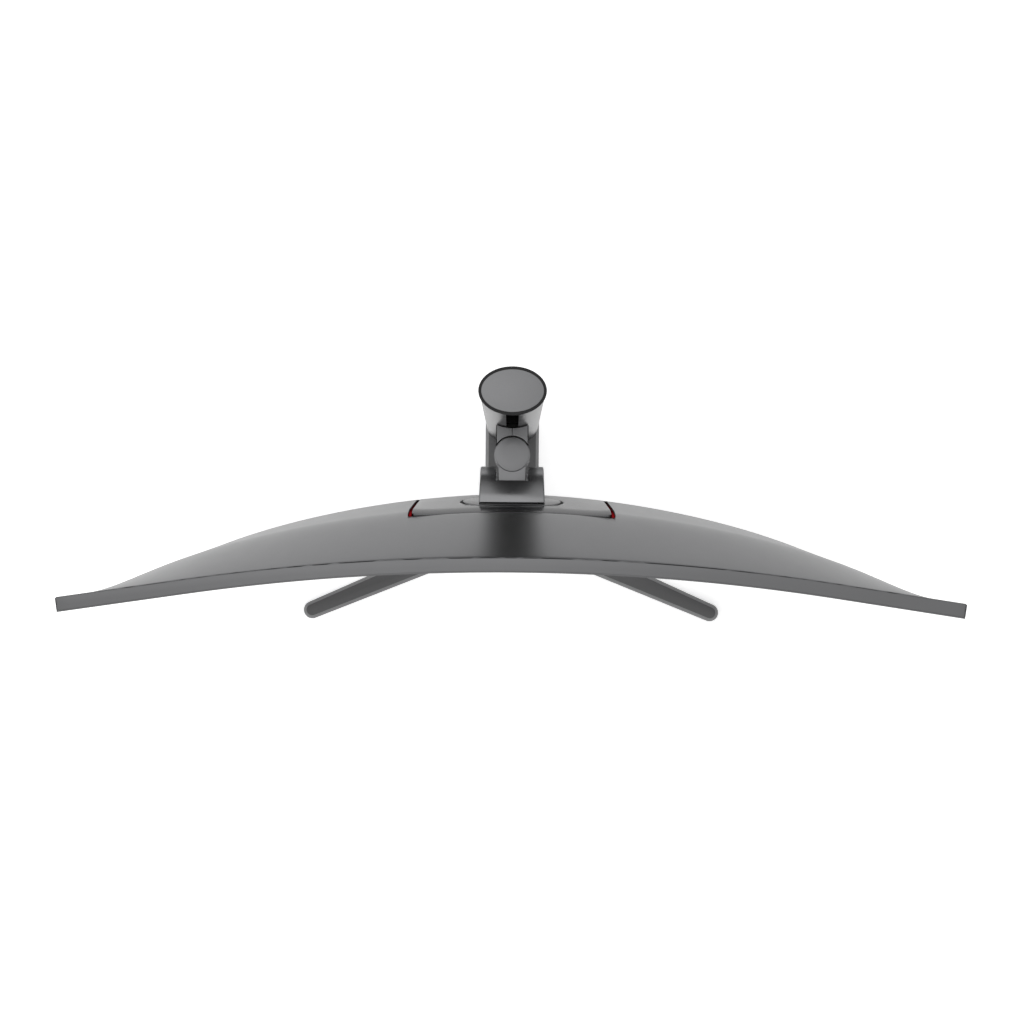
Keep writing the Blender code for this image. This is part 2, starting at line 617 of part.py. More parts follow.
# ---- display module ----
def display_layers():
    """The flat layers of the display, each bent to the screen's curve, from the front to the back."""
    length = HALF_LENGTH - BAND_WALL - GAP
    layers = [
        # name, half length, bottom, top, front, back, finish
        ("lcd_panel", length, CHIN_TOP_Z + GAP, TOP_Z - BAND_WALL - GAP, 0.0004, 0.0022, "screen"),
        ("bottom_chin", length, BOTTOM_Z + BAND_WALL + GAP, CHIN_TOP_Z, 0.0002, 0.0022, "dark plastic"),
        ("diffuser_stack", length - 0.001, 0.0677, 0.4053, 0.0025, 0.0033, "white plastic"),
        ("light_guide", length - 0.001, 0.0677, 0.4053, 0.0036, 0.0066, "clear plastic"),
        ("led_bar", length - 0.004, 0.0598, 0.0672, 0.0036, 0.0066, "white plastic"),
        ("backplane", length - 0.0005, 0.0590, 0.4060, 0.0070, 0.0078, "steel"),
    ]
    for name, half, low, high, front, back, finish in layers:
        outline = [(-half, low), (half, low), (half, high), (-half, high)]
        add_part(name, curved_plate(name, [outline], front, back), finish)


def middle_frame():
    """The band round the display's edge."""
    outer = rounded((-HALF_LENGTH, BOTTOM_Z), (HALF_LENGTH, TOP_Z), 0.002, 3)
    inner_x = HALF_LENGTH - BAND_WALL
    inner = rounded((-inner_x, BOTTOM_Z + BAND_WALL), (inner_x, TOP_Z - BAND_WALL), 0.0005, 1)
    mesh = curved_plate("middle_frame", [outer, inner], 0.0, BAND_DEPTH)
    frame = add_part("middle_frame", mesh, "grey paint")
    cut(frame, oval("joystick_hole", 0.0056, 0.0056, 0.03, 0.05, (0.0, STICK_Y), 24))
    cut(frame, oval("lens_hole", 0.0018, 0.0018, 0.03, 0.05, (LENS_X, STICK_Y), 16))


def cover_profile():
    """Height and depth of the rear cover down its middle, from the bottom edge to the top edge."""
    low_z, high_z = BOTTOM_Z + 0.0008, TOP_Z - 0.0008
    lower = [(low_z, COVER_RIM), (0.100, 0.0055), (0.1440, 0.0085), (SHELF_Z, 0.0110)]
    corner = [(SHELF_Z, 0.0560), (0.1512, 0.0605), (0.1550, 0.0636), (0.1615, 0.0650)]
    face_z = (0.172, 0.210, 0.248, CROWN_Z)
    face = [(z, lean_depth(z) - BAND_DEPTH - GAP) for z in face_z]
    start = Vector(face[-1])
    leave = start + 0.035 * Vector((1.0, -LEAN))
    points = (start, leave, Vector((0.385, 0.015)), Vector((high_z, COVER_RIM)))
    crown = []
    for i in range(1, 10):
        u = i / 9
        weights = ((1 - u) ** 3, 3 * u * (1 - u) ** 2, 3 * u * u * (1 - u), u**3)
        crown.append(tuple(sum((w * p for w, p in zip(weights, points)), Vector((0.0, 0.0)))))
    return lower + corner + face + crown


def rear_cover():
    """One moulded shell. Its depth is the middle's profile, falling away towards both ends."""
    profile = cover_profile()
    rows = [(profile[0][0], 0.0), *profile, (profile[-1][0], 0.0)]
    end = HALF_LENGTH - 0.0010
    bends = [ARC_HALF * i / COVER_FLATS for i in range(COVER_FLATS + 1)]
    bends += [0.314, 0.336, 0.354, 0.366, BULGE_HALF_LENGTH, end]
    columns = [-end] + [-s for s in reversed(bends[1:])] + bends + [end]
    wide, tall = len(columns) - 1, len(rows) - 1
    bm = bmesh.new()
    bmesh.ops.create_grid(bm, x_segments=wide, y_segments=tall, size=1.0)
    for vertex in bm.verts:
        i = round((vertex.co.x + 1) / 2 * wide)
        j = round((vertex.co.y + 1) / 2 * tall)
        s, (z, depth) = columns[i], rows[j]
        if i in (0, wide):
            depth = 0.0
        elif depth > 0:
            depth = COVER_RIM + (depth - COVER_RIM) * bulge_share(s)
        vertex.co = (*on_curve(s, BAND_DEPTH + GAP + depth), z)
    bmesh.ops.remove_doubles(bm, verts=bm.verts, dist=1e-5)
    bm.normal_update()
    mesh = mesh_from(bm, "rear_cover")
    if sum(face.normal.y * face.area for face in mesh.polygons) < 0:
        mesh.flip_normals()
    cover = add_part("rear_cover", mesh, "grey paint")
    shell = cover.modifiers.new("wall", "SOLIDIFY")
    shell.thickness = COVER_WALL
    shell.offset = -1
    opening = rounded(
        (-OPENING_HALF_X, PANEL_BOTTOM_Z - 0.0006), (OPENING_HALF_X, PANEL_TOP_Z + 0.0006), 0.006
    )
    cutter = plate("panel_opening", [opening], -0.05, 0.05)
    cut(cover, reshape(cutter, lambda p: Vector((p.x * panel_width(p.y), p.z, p.y))))
    under, over = SHELF_Z - 0.003, SHELF_Z + 0.004
    cut(cover, box("port_bay", (*BAY_LOW, under), (*BAY_HIGH, over)))
    for i in range(VENT_COUNT):
        x = VENT_X + VENT_PITCH * i
        cut(cover, box("vent", (x, VENT_LOW_Y, under), (x + VENT_WIDTH, VENT_HIGH_Y, over)))


def centre_cover():
    """The flat panel in the middle of the rear cover, with the round opening for the mount disc."""
    outline = rounded((-PANEL_HALF_X, PANEL_BOTTOM_Z), (PANEL_HALF_X, PANEL_TOP_Z), 0.005)
    cover = add_part("centre_cover", panel_plate("centre_cover", outline, -0.0025, 0.0), "grey paint")
    bm = bmesh.new()
    place = Matrix.Translation((0.0, LEAN_Y, LEAN_Z)) @ Matrix.Rotation(math.pi / 2, 4, "X")
    radius = DISC_RADIUS + 0.0004
    bmesh.ops.create_cone(
        bm, cap_ends=True, segments=56, radius1=radius, radius2=radius, depth=0.05, matrix=place
    )
    cut(cover, mesh_from(bm, "disc_opening"))
    for side, name in ((-1, "accent_strip_left"), (1, "accent_strip_right")):
        inner, outer = sorted((side * (PANEL_HALF_X + GAP), side * (OPENING_HALF_X - GAP)))
        low_z, high_z = PANEL_BOTTOM_Z + 0.004, PANEL_TOP_Z - 0.004
        outline = [(inner, low_z), (outer, low_z), (outer, high_z), (inner, high_z)]
        add_part(name, panel_plate(name, outline, -0.0040, -0.0020), "red")


# ---- electronics ----
def boards():
    board = box("main_board", (-0.185, -0.0300, 0.182), (-0.074, -0.0284, 0.290))
    add_part("main_board", board, "circuit board")
    board = box("power_board", (0.074, -0.0300, 0.168), (0.185, -0.0284, 0.290))
    add_part("power_board", board, "circuit board")
    board = box("button_board", (-0.022, STICK_Y - 0.004, 0.0560), (0.034, STICK_Y + 0.004, 0.0572))
    add_part("button_board", board, "circuit board")
    lens = oval("power_led_lens", 0.0015, 0.0015, BOTTOM_Z - 0.0003, 0.0470, (LENS_X, STICK_Y), 16)
    add_part("power_led_lens", lens, "clear plastic")


def sockets():
    """The sockets on their bracket, all opening downwards into the bay under the bulge."""
    face_z, middle_y = SOCKET_FACE_Z, SOCKET_Y
    low_x, low_y = (edge - 0.0010 for edge in BAY_LOW)
    high_x, high_y = (edge + 0.0010 for edge in BAY_HIGH)
    sheet = box("port_bracket", (low_x, low_y, face_z - 0.0012), (high_x, high_y, face_z))
    bracket = add_part("port_bracket", sheet, "steel")
    # name, middle in X, outer width, outer depth, wall, height, depth of the hollow
    kinds = [
        ("power_inlet", -0.1565, 0.0270, 0.0190, 0.0013, 0.0200, 0.0160),
        ("video_socket_left", -0.1290, 0.0160, 0.0066, 0.0007, 0.0110, 0.0095),
        ("video_socket_middle", -0.1085, 0.0160, 0.0066, 0.0007, 0.0110, 0.0095),
        ("video_socket_right", -0.0885, 0.0170, 0.0066, 0.0007, 0.0110, 0.0095),
    ]
    for name, x, width, depth, wall, height, hollow in kinds:
        low_z = face_z + GAP
        low = Vector((x - width / 2, middle_y - depth / 2))
        high = Vector((x + width / 2, middle_y + depth / 2))
        finish = "dark plastic" if name == "power_inlet" else "steel"
        socket = add_part(name, box(name, (*low, low_z), (*high, low_z + height)), finish)
        inner_low, inner_high = (low.x + wall, low.y + wall), (high.x - wall, high.y - wall)
        cut(socket, box("socket_hollow", (*inner_low, low_z - 0.002), (*inner_high, low_z + hollow)))
        cut(bracket, box("socket_window", (*inner_low, face_z - 0.004), (*inner_high, face_z + 0.002)))
        if name == "power_inlet":
            for pin_x, pin_y in ((-0.007, 0.0), (0.007, 0.0), (0.0, 0.0045)):
                pin_low = (x + pin_x - 0.001, middle_y + pin_y - 0.002, low_z + 0.004)
                pin_high = (x + pin_x + 0.001, middle_y + pin_y + 0.002, low_z + hollow + 0.001)
                join(socket, box("inlet_pin", pin_low, pin_high))
    jack_at = (JACK_X, middle_y)
    jack_mesh = oval("audio_jack", 0.0038, 0.0038, face_z + GAP, face_z + 0.0120, jack_at, 20)
    jack = add_part("audio_jack", jack_mesh, "dark plastic")
    cut(jack, oval("jack_bore", 0.0018, 0.0018, face_z - 0.01, face_z + 0.0100, jack_at, 16))
    cut(bracket, oval("jack_window", 0.0030, 0.0030, face_z - 0.01, face_z + 0.0100, jack_at, 16))


def joystick():
    """A gimbal ring, the stem that rocks in it, and the knob that presses up the stem."""
    ring = oval("joystick_gimbal", 0.0046, 0.0046, STICK_Z - 0.001, STICK_Z + 0.001, (0.0, STICK_Y), 24)
    gimbal = add_part("joystick_gimbal", ring, "dark plastic")
    cut(gimbal, oval("gimbal_bore", 0.0030, 0.0030, 0.04, 0.06, (0.0, STICK_Y), 24))
    stem = oval("joystick_stem", 0.0016, 0.0016, 0.0469, 0.0548, (0.0, STICK_Y), 16)
    add_part("joystick_stem", stem, "dark plastic")
    knob_mesh = oval("joystick_knob", 0.0040, 0.0040, 0.0386, 0.0460, (0.0, STICK_Y), 24)
    soften(add_part("joystick_knob", knob_mesh, "dark plastic"), 0.0006)


# ---- motion: every moving group hangs on an empty at its joint ----
MOVING = [
    # joint, its parent, place, the pieces that it carries
    ("lift", None, (0.0, COLUMN_Y, ARM_BOTTOM_Z),
     ["slider_carriage", "drum_axle", "rear_arm", "swivel_bushing"]),
    ("drum_spin", "lift", (0.0, DRUM_Y, DRUM_Z), ["spring_drum"]),
    ("swivel", "lift", (0.0, SWIVEL_Y, ARM_BOTTOM_Z),
     ["front_arm", "swivel_cap", "swivel_pin", "tilt_pin", "friction_washer_left", "friction_washer_right"]),
    ("tilt", "swivel", (0.0, TILT_Y, TILT_Z),
     ["lcd_panel", "bottom_chin", "diffuser_stack", "light_guide", "led_bar", "backplane", "middle_frame",
      "rear_cover", "centre_cover", "accent_strip_left", "accent_strip_right", "mount_disc", "mount_frame",
      "tilt_bracket", "hinge_hood", "main_board", "power_board", "button_board", "power_led_lens",
      "port_bracket", "power_inlet", "video_socket_left", "video_socket_middle", "video_socket_right",
      "audio_jack"]),
    ("stick_pitch", "tilt", (0.0, STICK_Y, STICK_Z), ["joystick_gimbal"]),
    ("stick_roll", "stick_pitch", (0.0, STICK_Y, STICK_Z), ["joystick_stem"]),
    ("stick_press", "stick_roll", (0.0, STICK_Y, STICK_Z), ["joystick_knob"]),
    ("thumb_turn", None, (0.0, COLUMN_Y, THUMB_Z), ["thumb_screw"]),
    ("ring_fold", "thumb_turn", (0.0, COLUMN_Y, THUMB_Z), ["thumb_ring"]),
]


def hang(child, parent):
    """Parent a child to an empty without moving it. An empty's own parents only translate."""
    child.parent = parent
    place = Vector()
    while parent:
        place += parent.location
        parent = parent.parent
    if child.type == "EMPTY":
        child.location -= place
    else:
        child.matrix_parent_inverse = Matrix.Translation(-place)


def hang_moving_parts():
    joints = {}
    for name, parent, place, carried in MOVING:
        empty = bpy.data.objects.new(f"{name}_joint", None)
        empty.empty_display_size = 0.02
        empty.location = place
        parts.objects.link(empty)
        if parent:
            hang(empty, joints[parent])
        joints[name] = empty
        for part in carried:
            hang(bpy.data.objects[part], empty)


FINISHES = {
    # colour, roughness, metallic
    "grey paint": ((0.055, 0.056, 0.058), 0.42, 0.0),
    "dark paint": ((0.030, 0.031, 0.033), 0.40, 0.0),
    "dark plastic": ((0.012, 0.012, 0.013), 0.45, 0.0),
    "screen": ((0.004, 0.004, 0.005), 0.25, 0.0),
    "white plastic": ((0.80, 0.80, 0.78), 0.50, 0.0),
    "clear plastic": ((0.75, 0.78, 0.80), 0.15, 0.0),
    "circuit board": ((0.010, 0.060, 0.030), 0.50, 0.0),
    "steel": ((0.50, 0.51, 0.52), 0.35, 1.0),
    "spring steel": ((0.32, 0.33, 0.35), 0.30, 1.0),
    "rubber": ((0.010, 0.010, 0.010), 0.80, 0.0),
    "red": ((0.45, 0.010, 0.012), 0.35, 0.0),
}


def main():
    start_scene()
    base_block()
    leg(-1)
    leg(1)
    foot_pads()
    column()
    lift_guide()
    thumb_screw()
    carriage()
    rear_arm()
    front_arm()
    tilt_bracket()
    hinge_hood()
    mount_disc()
    mount_frame()
    display_layers()
    middle_frame()
    rear_cover()
    centre_cover()
    boards()
    sockets()
    joystick()
    hang_moving_parts()


main()
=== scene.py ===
"""The looks of a curved ultrawide monitor on its stand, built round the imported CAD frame.

X runs to the viewer's right, Y to the rear and Z up, in metres. The screen faces -Y and the floor is z = 0.
"""

import math

import bmesh
import bpy
import numpy as np
from mathutils import Matrix, Vector
from mathutils.geometry import delaunay_2d_cdt


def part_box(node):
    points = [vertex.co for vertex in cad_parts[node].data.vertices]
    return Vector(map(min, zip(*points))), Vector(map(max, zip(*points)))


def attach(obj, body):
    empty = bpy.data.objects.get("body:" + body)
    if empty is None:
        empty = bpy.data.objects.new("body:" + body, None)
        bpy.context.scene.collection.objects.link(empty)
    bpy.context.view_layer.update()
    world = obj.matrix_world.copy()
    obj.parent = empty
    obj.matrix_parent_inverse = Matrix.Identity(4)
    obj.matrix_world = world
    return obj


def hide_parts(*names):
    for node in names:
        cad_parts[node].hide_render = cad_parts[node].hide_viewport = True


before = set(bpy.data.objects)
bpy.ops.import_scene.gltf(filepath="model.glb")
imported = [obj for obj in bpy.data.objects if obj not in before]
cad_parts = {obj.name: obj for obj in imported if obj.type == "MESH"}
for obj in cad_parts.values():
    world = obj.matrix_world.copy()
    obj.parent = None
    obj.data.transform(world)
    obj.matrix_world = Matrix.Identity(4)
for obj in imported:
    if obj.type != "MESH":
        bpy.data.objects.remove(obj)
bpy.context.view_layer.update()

GAP = 0.0003  # clearance between neighbouring pieces
SOFT_ANGLE = math.radians(40)  # edges sharper than this are softened

# Display: the front face is an arc that runs on straight near both ends
SCREEN_RADIUS = 1.973
ARC_HALF = 0.290
FRAME_LOW, FRAME_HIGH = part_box("middle_frame")
HALF_LENGTH = 0.4044  # along the face, from its middle to an end
FRONT_Y = -0.0622
BOTTOM_Z, TOP_Z = FRAME_LOW.z, FRAME_HIGH.z
BAND_DEPTH = 0.0127
BAND_WALL = 0.002
BAND_CORNER = 0.0030
END_DARK_WIDTH = 0.0021  # the band is darker this far in from each end
CHIN_TOP_Z = 0.0657
KNOB_Y, KNOB_HOLE_RADIUS = -0.0546, 0.0046
LED_X, LED_HOLE_RADIUS = 0.030, 0.0018

# Rear cover, with its depths measured from behind the band
COVER_WALL = 0.0022
COVER_INSET, COVER_END_INSET = 0.0008, 0.0010  # how far inside the band's outside its edges lie
COVER_RIM = 0.0004
BULGE_HALF_LENGTH, BULGE_POWER, BULGE_ROOT = 0.372, 1.6, 0.58
CROWN_Z = 0.286
LEAN, LEAN_Y, LEAN_Z = 0.14, 0.007, 0.235  # slope of the leaning face, and a point on it
SHELF_Z, SHELF_BEND_Z = 0.150, 0.172
SHELF_START = 0.105  # along the profile from its lower end
PANEL_HALF_X, OPENING_HALF_X = 0.0959, 0.0998
PANEL_TAPER = -0.07
PANEL_BOTTOM_Z, PANEL_TOP_Z = 0.166, 0.312
PANEL_CORNER, OPENING_CORNER, OPENING_SLACK = 0.005, 0.006, 0.0006
DISC_RADIUS = 0.0508
PANEL_HOLE_SLACK, PAD_SLACK, PAD_SINK = 0.0009, 0.0017, 0.0006
BAY_LOW, BAY_HIGH = (-0.1745, -0.0365), (-0.0665, -0.0145)
BAY_LOW_Z, BAY_TOP_Z = 0.1526, 0.1578
VENT_COUNT, VENT_START_X, VENT_PITCH, VENT_WIDTH = 7, 0.080, 0.012, 0.004
VENT_LOW_Y, VENT_HIGH_Y = -0.0320, -0.0150

# Arm and hood
TILT_Y, TILT_Z = 0.023, 0.230
SWIVEL_Y = 0.0532
ARM_LOW_Z, ARM_TOP_Z = 0.211, 0.241
KNUCKLE_Z = 0.2243
CAP_RADIUS, KNUCKLE_RADIUS, SEAT_RADIUS = 0.0173, 0.0183, 0.0188
BUSHING_RADIUS, SWIVEL_PIN_RADIUS, TILT_PIN_RADIUS = 0.0063, 0.0043, 0.0033
ARM_HALF_X, NECK_HALF_X, TONGUE_HALF_X = 0.0163, 0.0138, 0.0052
ARM_LEDGE, ARM_STEP = 0.0009, 0.0008  # width and depth of the ledge along the arm's top edges
ARM_CLEARANCE = 0.0012  # between the arm's end and the column
HOOD_HALF_X, HOOD_RADIUS = 0.032, 0.038
HOOD_ROUND_Y, HOOD_ROUND_Z, HOOD_LOW_Z = 0.004, 0.217, 0.195
HOOD_FRONT_Y, HOOD_WALL, HOOD_EDGE = -0.012, 0.0025, 0.0016
HOOD_SLOT_Y, HOOD_SLOT_HALF_X = 0.0266, 0.0168
HOOD_FLARE, HOOD_FLARE_X = 0.9, 0.02  # its sides widen to the front, beyond this distance from the middle

# Column and base
COLUMN_Y = 0.1015
COLUMN_X, COLUMN_DEPTH = 0.030, 0.021  # half sizes of the oval
COLUMN_WALL = 0.003
SLOT_HALF_X, SLOT_LOW_Z, SLOT_HIGH_Z = 0.006, 0.200, 0.377
COLUMN_LOW_Z, COLUMN_HIGH_Z, STAND_TOP_Z = 0.0133, 0.3817, 0.387
BASE_LOW_Z, BASE_TOP_Z = 0.0023, 0.013
BASE_CHAMFER, BASE_SOFTNESS = 0.0035, 0.0008
BLOCK_HALF_X, BLOCK_REAR = 0.0311, 0.0236
TIP_X, TIP_Y, TIP_RADIUS = 0.231, -0.115, 0.0101
FRONT_SLOPE, REAR_SLOPE = 0.40, 0.448  # of a leg's two sides


# ---- outlines, as lists of 2D points that go round anticlockwise ----
def inset(outline, distance):
    """The outline moved inwards by a distance, with mitred corners."""
    moved = []
    for i, point in enumerate(outline):
        before = (point - outline[i - 1]).normalized()
        after = (outline[(i + 1) % len(outline)] - point).normalized()
        a, b = Vector((-before.y, before.x)), Vector((-after.y, after.x))
        moved.append(point + (a + b) * distance / (1 + a.dot(b)))
    return moved


def round_corners(corners, steps=8):
    """A closed outline through corners given as (x, y, radius)."""
    points = []
    count = len(corners)
    for i, (x, y, radius) in enumerate(corners):
        corner = Vector((x, y))
        if not radius:
            points.append(corner)
            continue
        to_a = (Vector(corners[i - 1][:2]) - corner).normalized()
        to_b = (Vector(corners[(i + 1) % count][:2]) - corner).normalized()
        half = to_a.angle(to_b) / 2
        centre = corner + (to_a + to_b).normalized() * radius / math.sin(half)
        first = corner + to_a * radius / math.tan(half) - centre
        last = corner + to_b * radius / math.tan(half) - centre
        start = math.atan2(first.y, first.x)
        turn = math.remainder(math.atan2(last.y, last.x) - start, math.tau)
        for k in range(steps + 1):
            a = start + turn * k / steps
            points.append(centre + radius * Vector((math.cos(a), math.sin(a))))
    return points


def rectangle(low, high, radius, steps=6):
    (x0, y0), (x1, y1) = low, high
    return round_corners([(x0, y0, radius), (x1, y0, radius), (x1, y1, radius), (x0, y1, radius)], steps)


def divide(outline, spacing, closed=True):
    """The same outline with its long edges divided."""
    points = []
    ends = outline[1:] + outline[:1] if closed else outline[1:]
    for a, b in zip(outline, ends):
        count = max(1, math.ceil((b - a).length / spacing))
        points += [a.lerp(b, k / count) for k in range(count)]
    return points if closed else points + [outline[-1]]


def circle(radius, count=64, centre=(0.0, 0.0)):
    angles = [math.tau * k / count for k in range(count)]
    return [Vector((centre[0] + radius * math.cos(a), centre[1] + radius * math.sin(a))) for a in angles]


def quarter(radius, steps=4):
    """Round edge: (distance in from the side, drop from the face), from the side to the face."""
    angles = [math.pi / 2 * k / steps for k in range(steps + 1)]
    return [(radius * (1 - math.cos(a)), radius * (1 - math.sin(a))) for a in angles]


# ---- solids ----
def mesh_of(bm, name):
    bmesh.ops.remove_doubles(bm, verts=bm.verts, dist=1e-7)
    bmesh.ops.recalc_face_normals(bm, faces=bm.faces)
    mesh = bpy.data.meshes.new(name)
    bm.to_mesh(mesh)
    bm.free()
    return mesh


def skin(name, rows, ring=False):
    """A surface over rows of points that each go round.

    ring joins the last row to the first. Otherwise both are filled.
    """
    bm = bmesh.new()
    loops = [[bm.verts.new(p) for p in row] for row in rows]
    count = len(rows[0])
    for a, b in zip(loops, loops[1:] + (loops[:1] if ring else [])):
        for i in range(count):
            j = (i + 1) % count
            bm.faces.new((a[i], a[j], b[j], b[i]))
    if not ring:
        bm.faces.new(loops[0][::-1])
        bm.faces.new(loops[-1])
    return mesh_of(bm, name)


def levels(low, high, low_edge, high_edge, steps=4):
    """Insets and heights for a slab with round edges below and above."""
    down = [(d, low + drop) for d, drop in reversed(quarter(low_edge, steps))] if low_edge else [(0.0, low)]
    up = [(d, high - drop) for d, drop in quarter(high_edge, steps)] if high_edge else [(0.0, high)]
    return down + up


def slab(name, outline, steps):
    """An upright solid over an outline in X and Y. Steps are (inset, height), from the bottom up."""
    return skin(name, [[Vector((*p, z)) for p in inset(outline, d)] for d, z in steps])


def along_x(name, outline, steps):
    """A solid with a side profile in Y and Z. Steps are (inset, x)."""
    return skin(name, [[Vector((x, *p)) for p in inset(outline, d)] for d, x in steps])


def along_y(name, outline, low, high):
    """A solid with an end profile in X and Z."""
    return skin(name, [[Vector((p.x, y, p.y)) for p in outline] for y in (low, high)])


def turned(name, profile, centre, half=(0.0, 0.0), count=96, ring=False):
    """A round or oval solid about an upright axis. The profile is (radius, z), added to the half sizes.

    ring is for a closed profile, and leaves a hole down the middle.
    """
    angles = [math.tau * k / count for k in range(count)]
    rows = []
    for radius, z in profile:
        across, along = half[0] + radius, half[1] + radius
        rows.append([Vector((centre[0] + across * math.cos(a), centre[1] + along * math.sin(a), z)) for a in angles])
    return skin(name, rows, ring)


def cuboid(name, low, high):
    (x0, y0, z0), (x1, y1, z1) = low, high
    corners = [Vector(p) for p in ((x0, y0), (x1, y0), (x1, y1), (x0, y1))]
    return slab(name, corners, [(0.0, z0), (0.0, z1)])


def cylinder_x(name, radius, low, high, y, z):
    return along_x(name, circle(radius, 48, (y, z)), [(0.0, low), (0.0, high)])


def boolean(mesh, tool, operation="DIFFERENCE"):
    """One mesh cut by or joined to another."""
    target, other = (bpy.data.objects.new(m.name, m) for m in (mesh, tool))
    for thing in (target, other):
        bpy.context.scene.collection.objects.link(thing)
    change = target.modifiers.new("boolean", "BOOLEAN")
    change.operation, change.solver, change.object = operation, "EXACT", other
    bpy.context.view_layer.update()
    result = bpy.data.meshes.new_from_object(target.evaluated_get(bpy.context.evaluated_depsgraph_get()))
    result.name = mesh.name
    for thing in (target, other):
        bpy.data.objects.remove(thing)
    return result


def trim(mesh, point, normal):
    """What lies behind a plane, closed where it was cut."""
    bm = bmesh.new()
    bm.from_mesh(mesh)
    geometry = bm.verts[:] + bm.edges[:] + bm.faces[:]
    bmesh.ops.bisect_plane(bm, geom=geometry, plane_co=point, plane_no=normal, clear_outer=True)
    bmesh.ops.holes_fill(bm, edges=[e for e in bm.edges if e.is_boundary])
    return mesh_of(bm, mesh.name)


def reshape(mesh, rule):
    for vertex in mesh.vertices:
        vertex.co = rule(vertex.co)


def inside(points, loop):
    """Which 2D points, as an array, lie inside a loop."""
    x, y = points[:, 0][:, None], points[:, 1][:, None]
    ends = np.array(loop)
    x0, y0 = ends[:, 0], ends[:, 1]
    x1, y1 = np.roll(x0, -1), np.roll(y0, -1)
    crosses = (y0 > y) != (y1 > y)
    with np.errstate(divide="ignore", invalid="ignore"):
        reach = x0 + (y - y0) * (x1 - x0) / (y1 - y0)
    return (np.sum(crosses & (x < reach), axis=1) % 2).astype(bool)


def nearest(points, loop):
    """Each 2D point's distance to the nearest point of a loop."""
    ends = np.array(loop)
    found = np.empty(len(points))
    for start in range(0, len(points), 2000):
        part = points[start:start + 2000]
        found[start:start + 2000] = np.min(np.linalg.norm(part[:, None, :] - ends[None, :, :], axis=2), axis=1)
    return found


def shell(name, outer, holes, us, vs, place, wall, lip, clear):
    """A moulded shell laid over a curved surface.

    outer and holes are outlines in the flat (u, v) plane. us and vs are the lines of the mesh between them,
    kept clear of the outlines by the distance clear. place(u, v) is the point of the surface, its normal on
    the side of place's v cross u. wall is the thickness, and lip the radius of the edges.
    """
    loops = [(outer, 1)] + [(hole, -1) for hole in holes]
    edge = quarter(lip, 3)
    flat, drops, rings = [], [], []
    for loop, side in loops:
        ring = []
        for distance, drop in edge:
            first = len(flat)
            flat += inset(loop, side * distance)
            drops += [drop] * len(loop)
            ring.append(range(first, first + len(loop)))
        rings.append(ring)
    grid = np.array([(u, v) for u in us for v in vs])
    borders = [[flat[i] for i in ring[-1]] for ring in rings]
    keep = inside(grid, borders[0])
    for border in borders[1:]:
        keep &= ~inside(grid, border)
    for border in borders:
        keep[keep] &= nearest(grid[keep], divide(border, clear)) > clear
    seeds = [i for ring in rings for i in ring[-1]]
    first_free = len(flat)
    flat += [Vector(p) for p in grid[keep]]
    drops += [0.0] * int(keep.sum())
    seeds += range(first_free, len(flat))
    edges, start = [], 0
    for border in borders:
        size = len(border)
        edges += [(start + k, start + (k + 1) % size) for k in range(size)]
        start += size
    points, _, triangles, sources, _, _ = delaunay_2d_cdt([flat[i] for i in seeds], edges, [], 0, 1e-9)
    centres = np.array([sum((points[i] for i in t), Vector((0.0, 0.0))) / 3 for t in triangles])
    wanted = inside(centres, borders[0])
    for border in borders[1:]:
        wanted &= ~inside(centres, border)
    faces = []
    for t, is_wanted in zip(triangles, wanted):
        if is_wanted:
            faces.append([seeds[sources[i][0]] for i in t])
    for (_, side), ring in zip(loops, rings):
        for a, b in zip(ring, ring[1:]):
            size = len(a)
            for k in range(size):
                face = [a[k], a[(k + 1) % size], b[(k + 1) % size], b[k]]
                faces.append(face if side > 0 else face[::-1])
    fronts, backs = [], []
    step = 1e-5
    for (u, v), drop in zip(flat, drops):
        here = place(u, v)
        normal = (place(u, v + step) - here).cross(place(u + step, v) - here).normalized()
        fronts.append(here - normal * drop)
        backs.append(here - normal * wall)
    total = len(flat)
    every = [f[::-1] for f in faces] + [[i + total for i in f] for f in faces]
    for (_, side), ring in zip(loops, rings):
        a = ring[0]
        for k in range(len(a)):
            i, j = a[k], a[(k + 1) % len(a)]
            every.append([i, j, j + total, i + total] if side > 0 else [j, i, i + total, j + total])
    mesh = bpy.data.meshes.new(name)
    mesh.from_pydata(fronts + backs, [], every)
    bm = bmesh.new()
    bm.from_mesh(mesh)
    bmesh.ops.remove_doubles(bm, verts=bm.verts, dist=1e-7)
    bmesh.ops.recalc_face_normals(bm, faces=bm.faces)
    bm.to_mesh(mesh)
    bm.free()
    return mesh


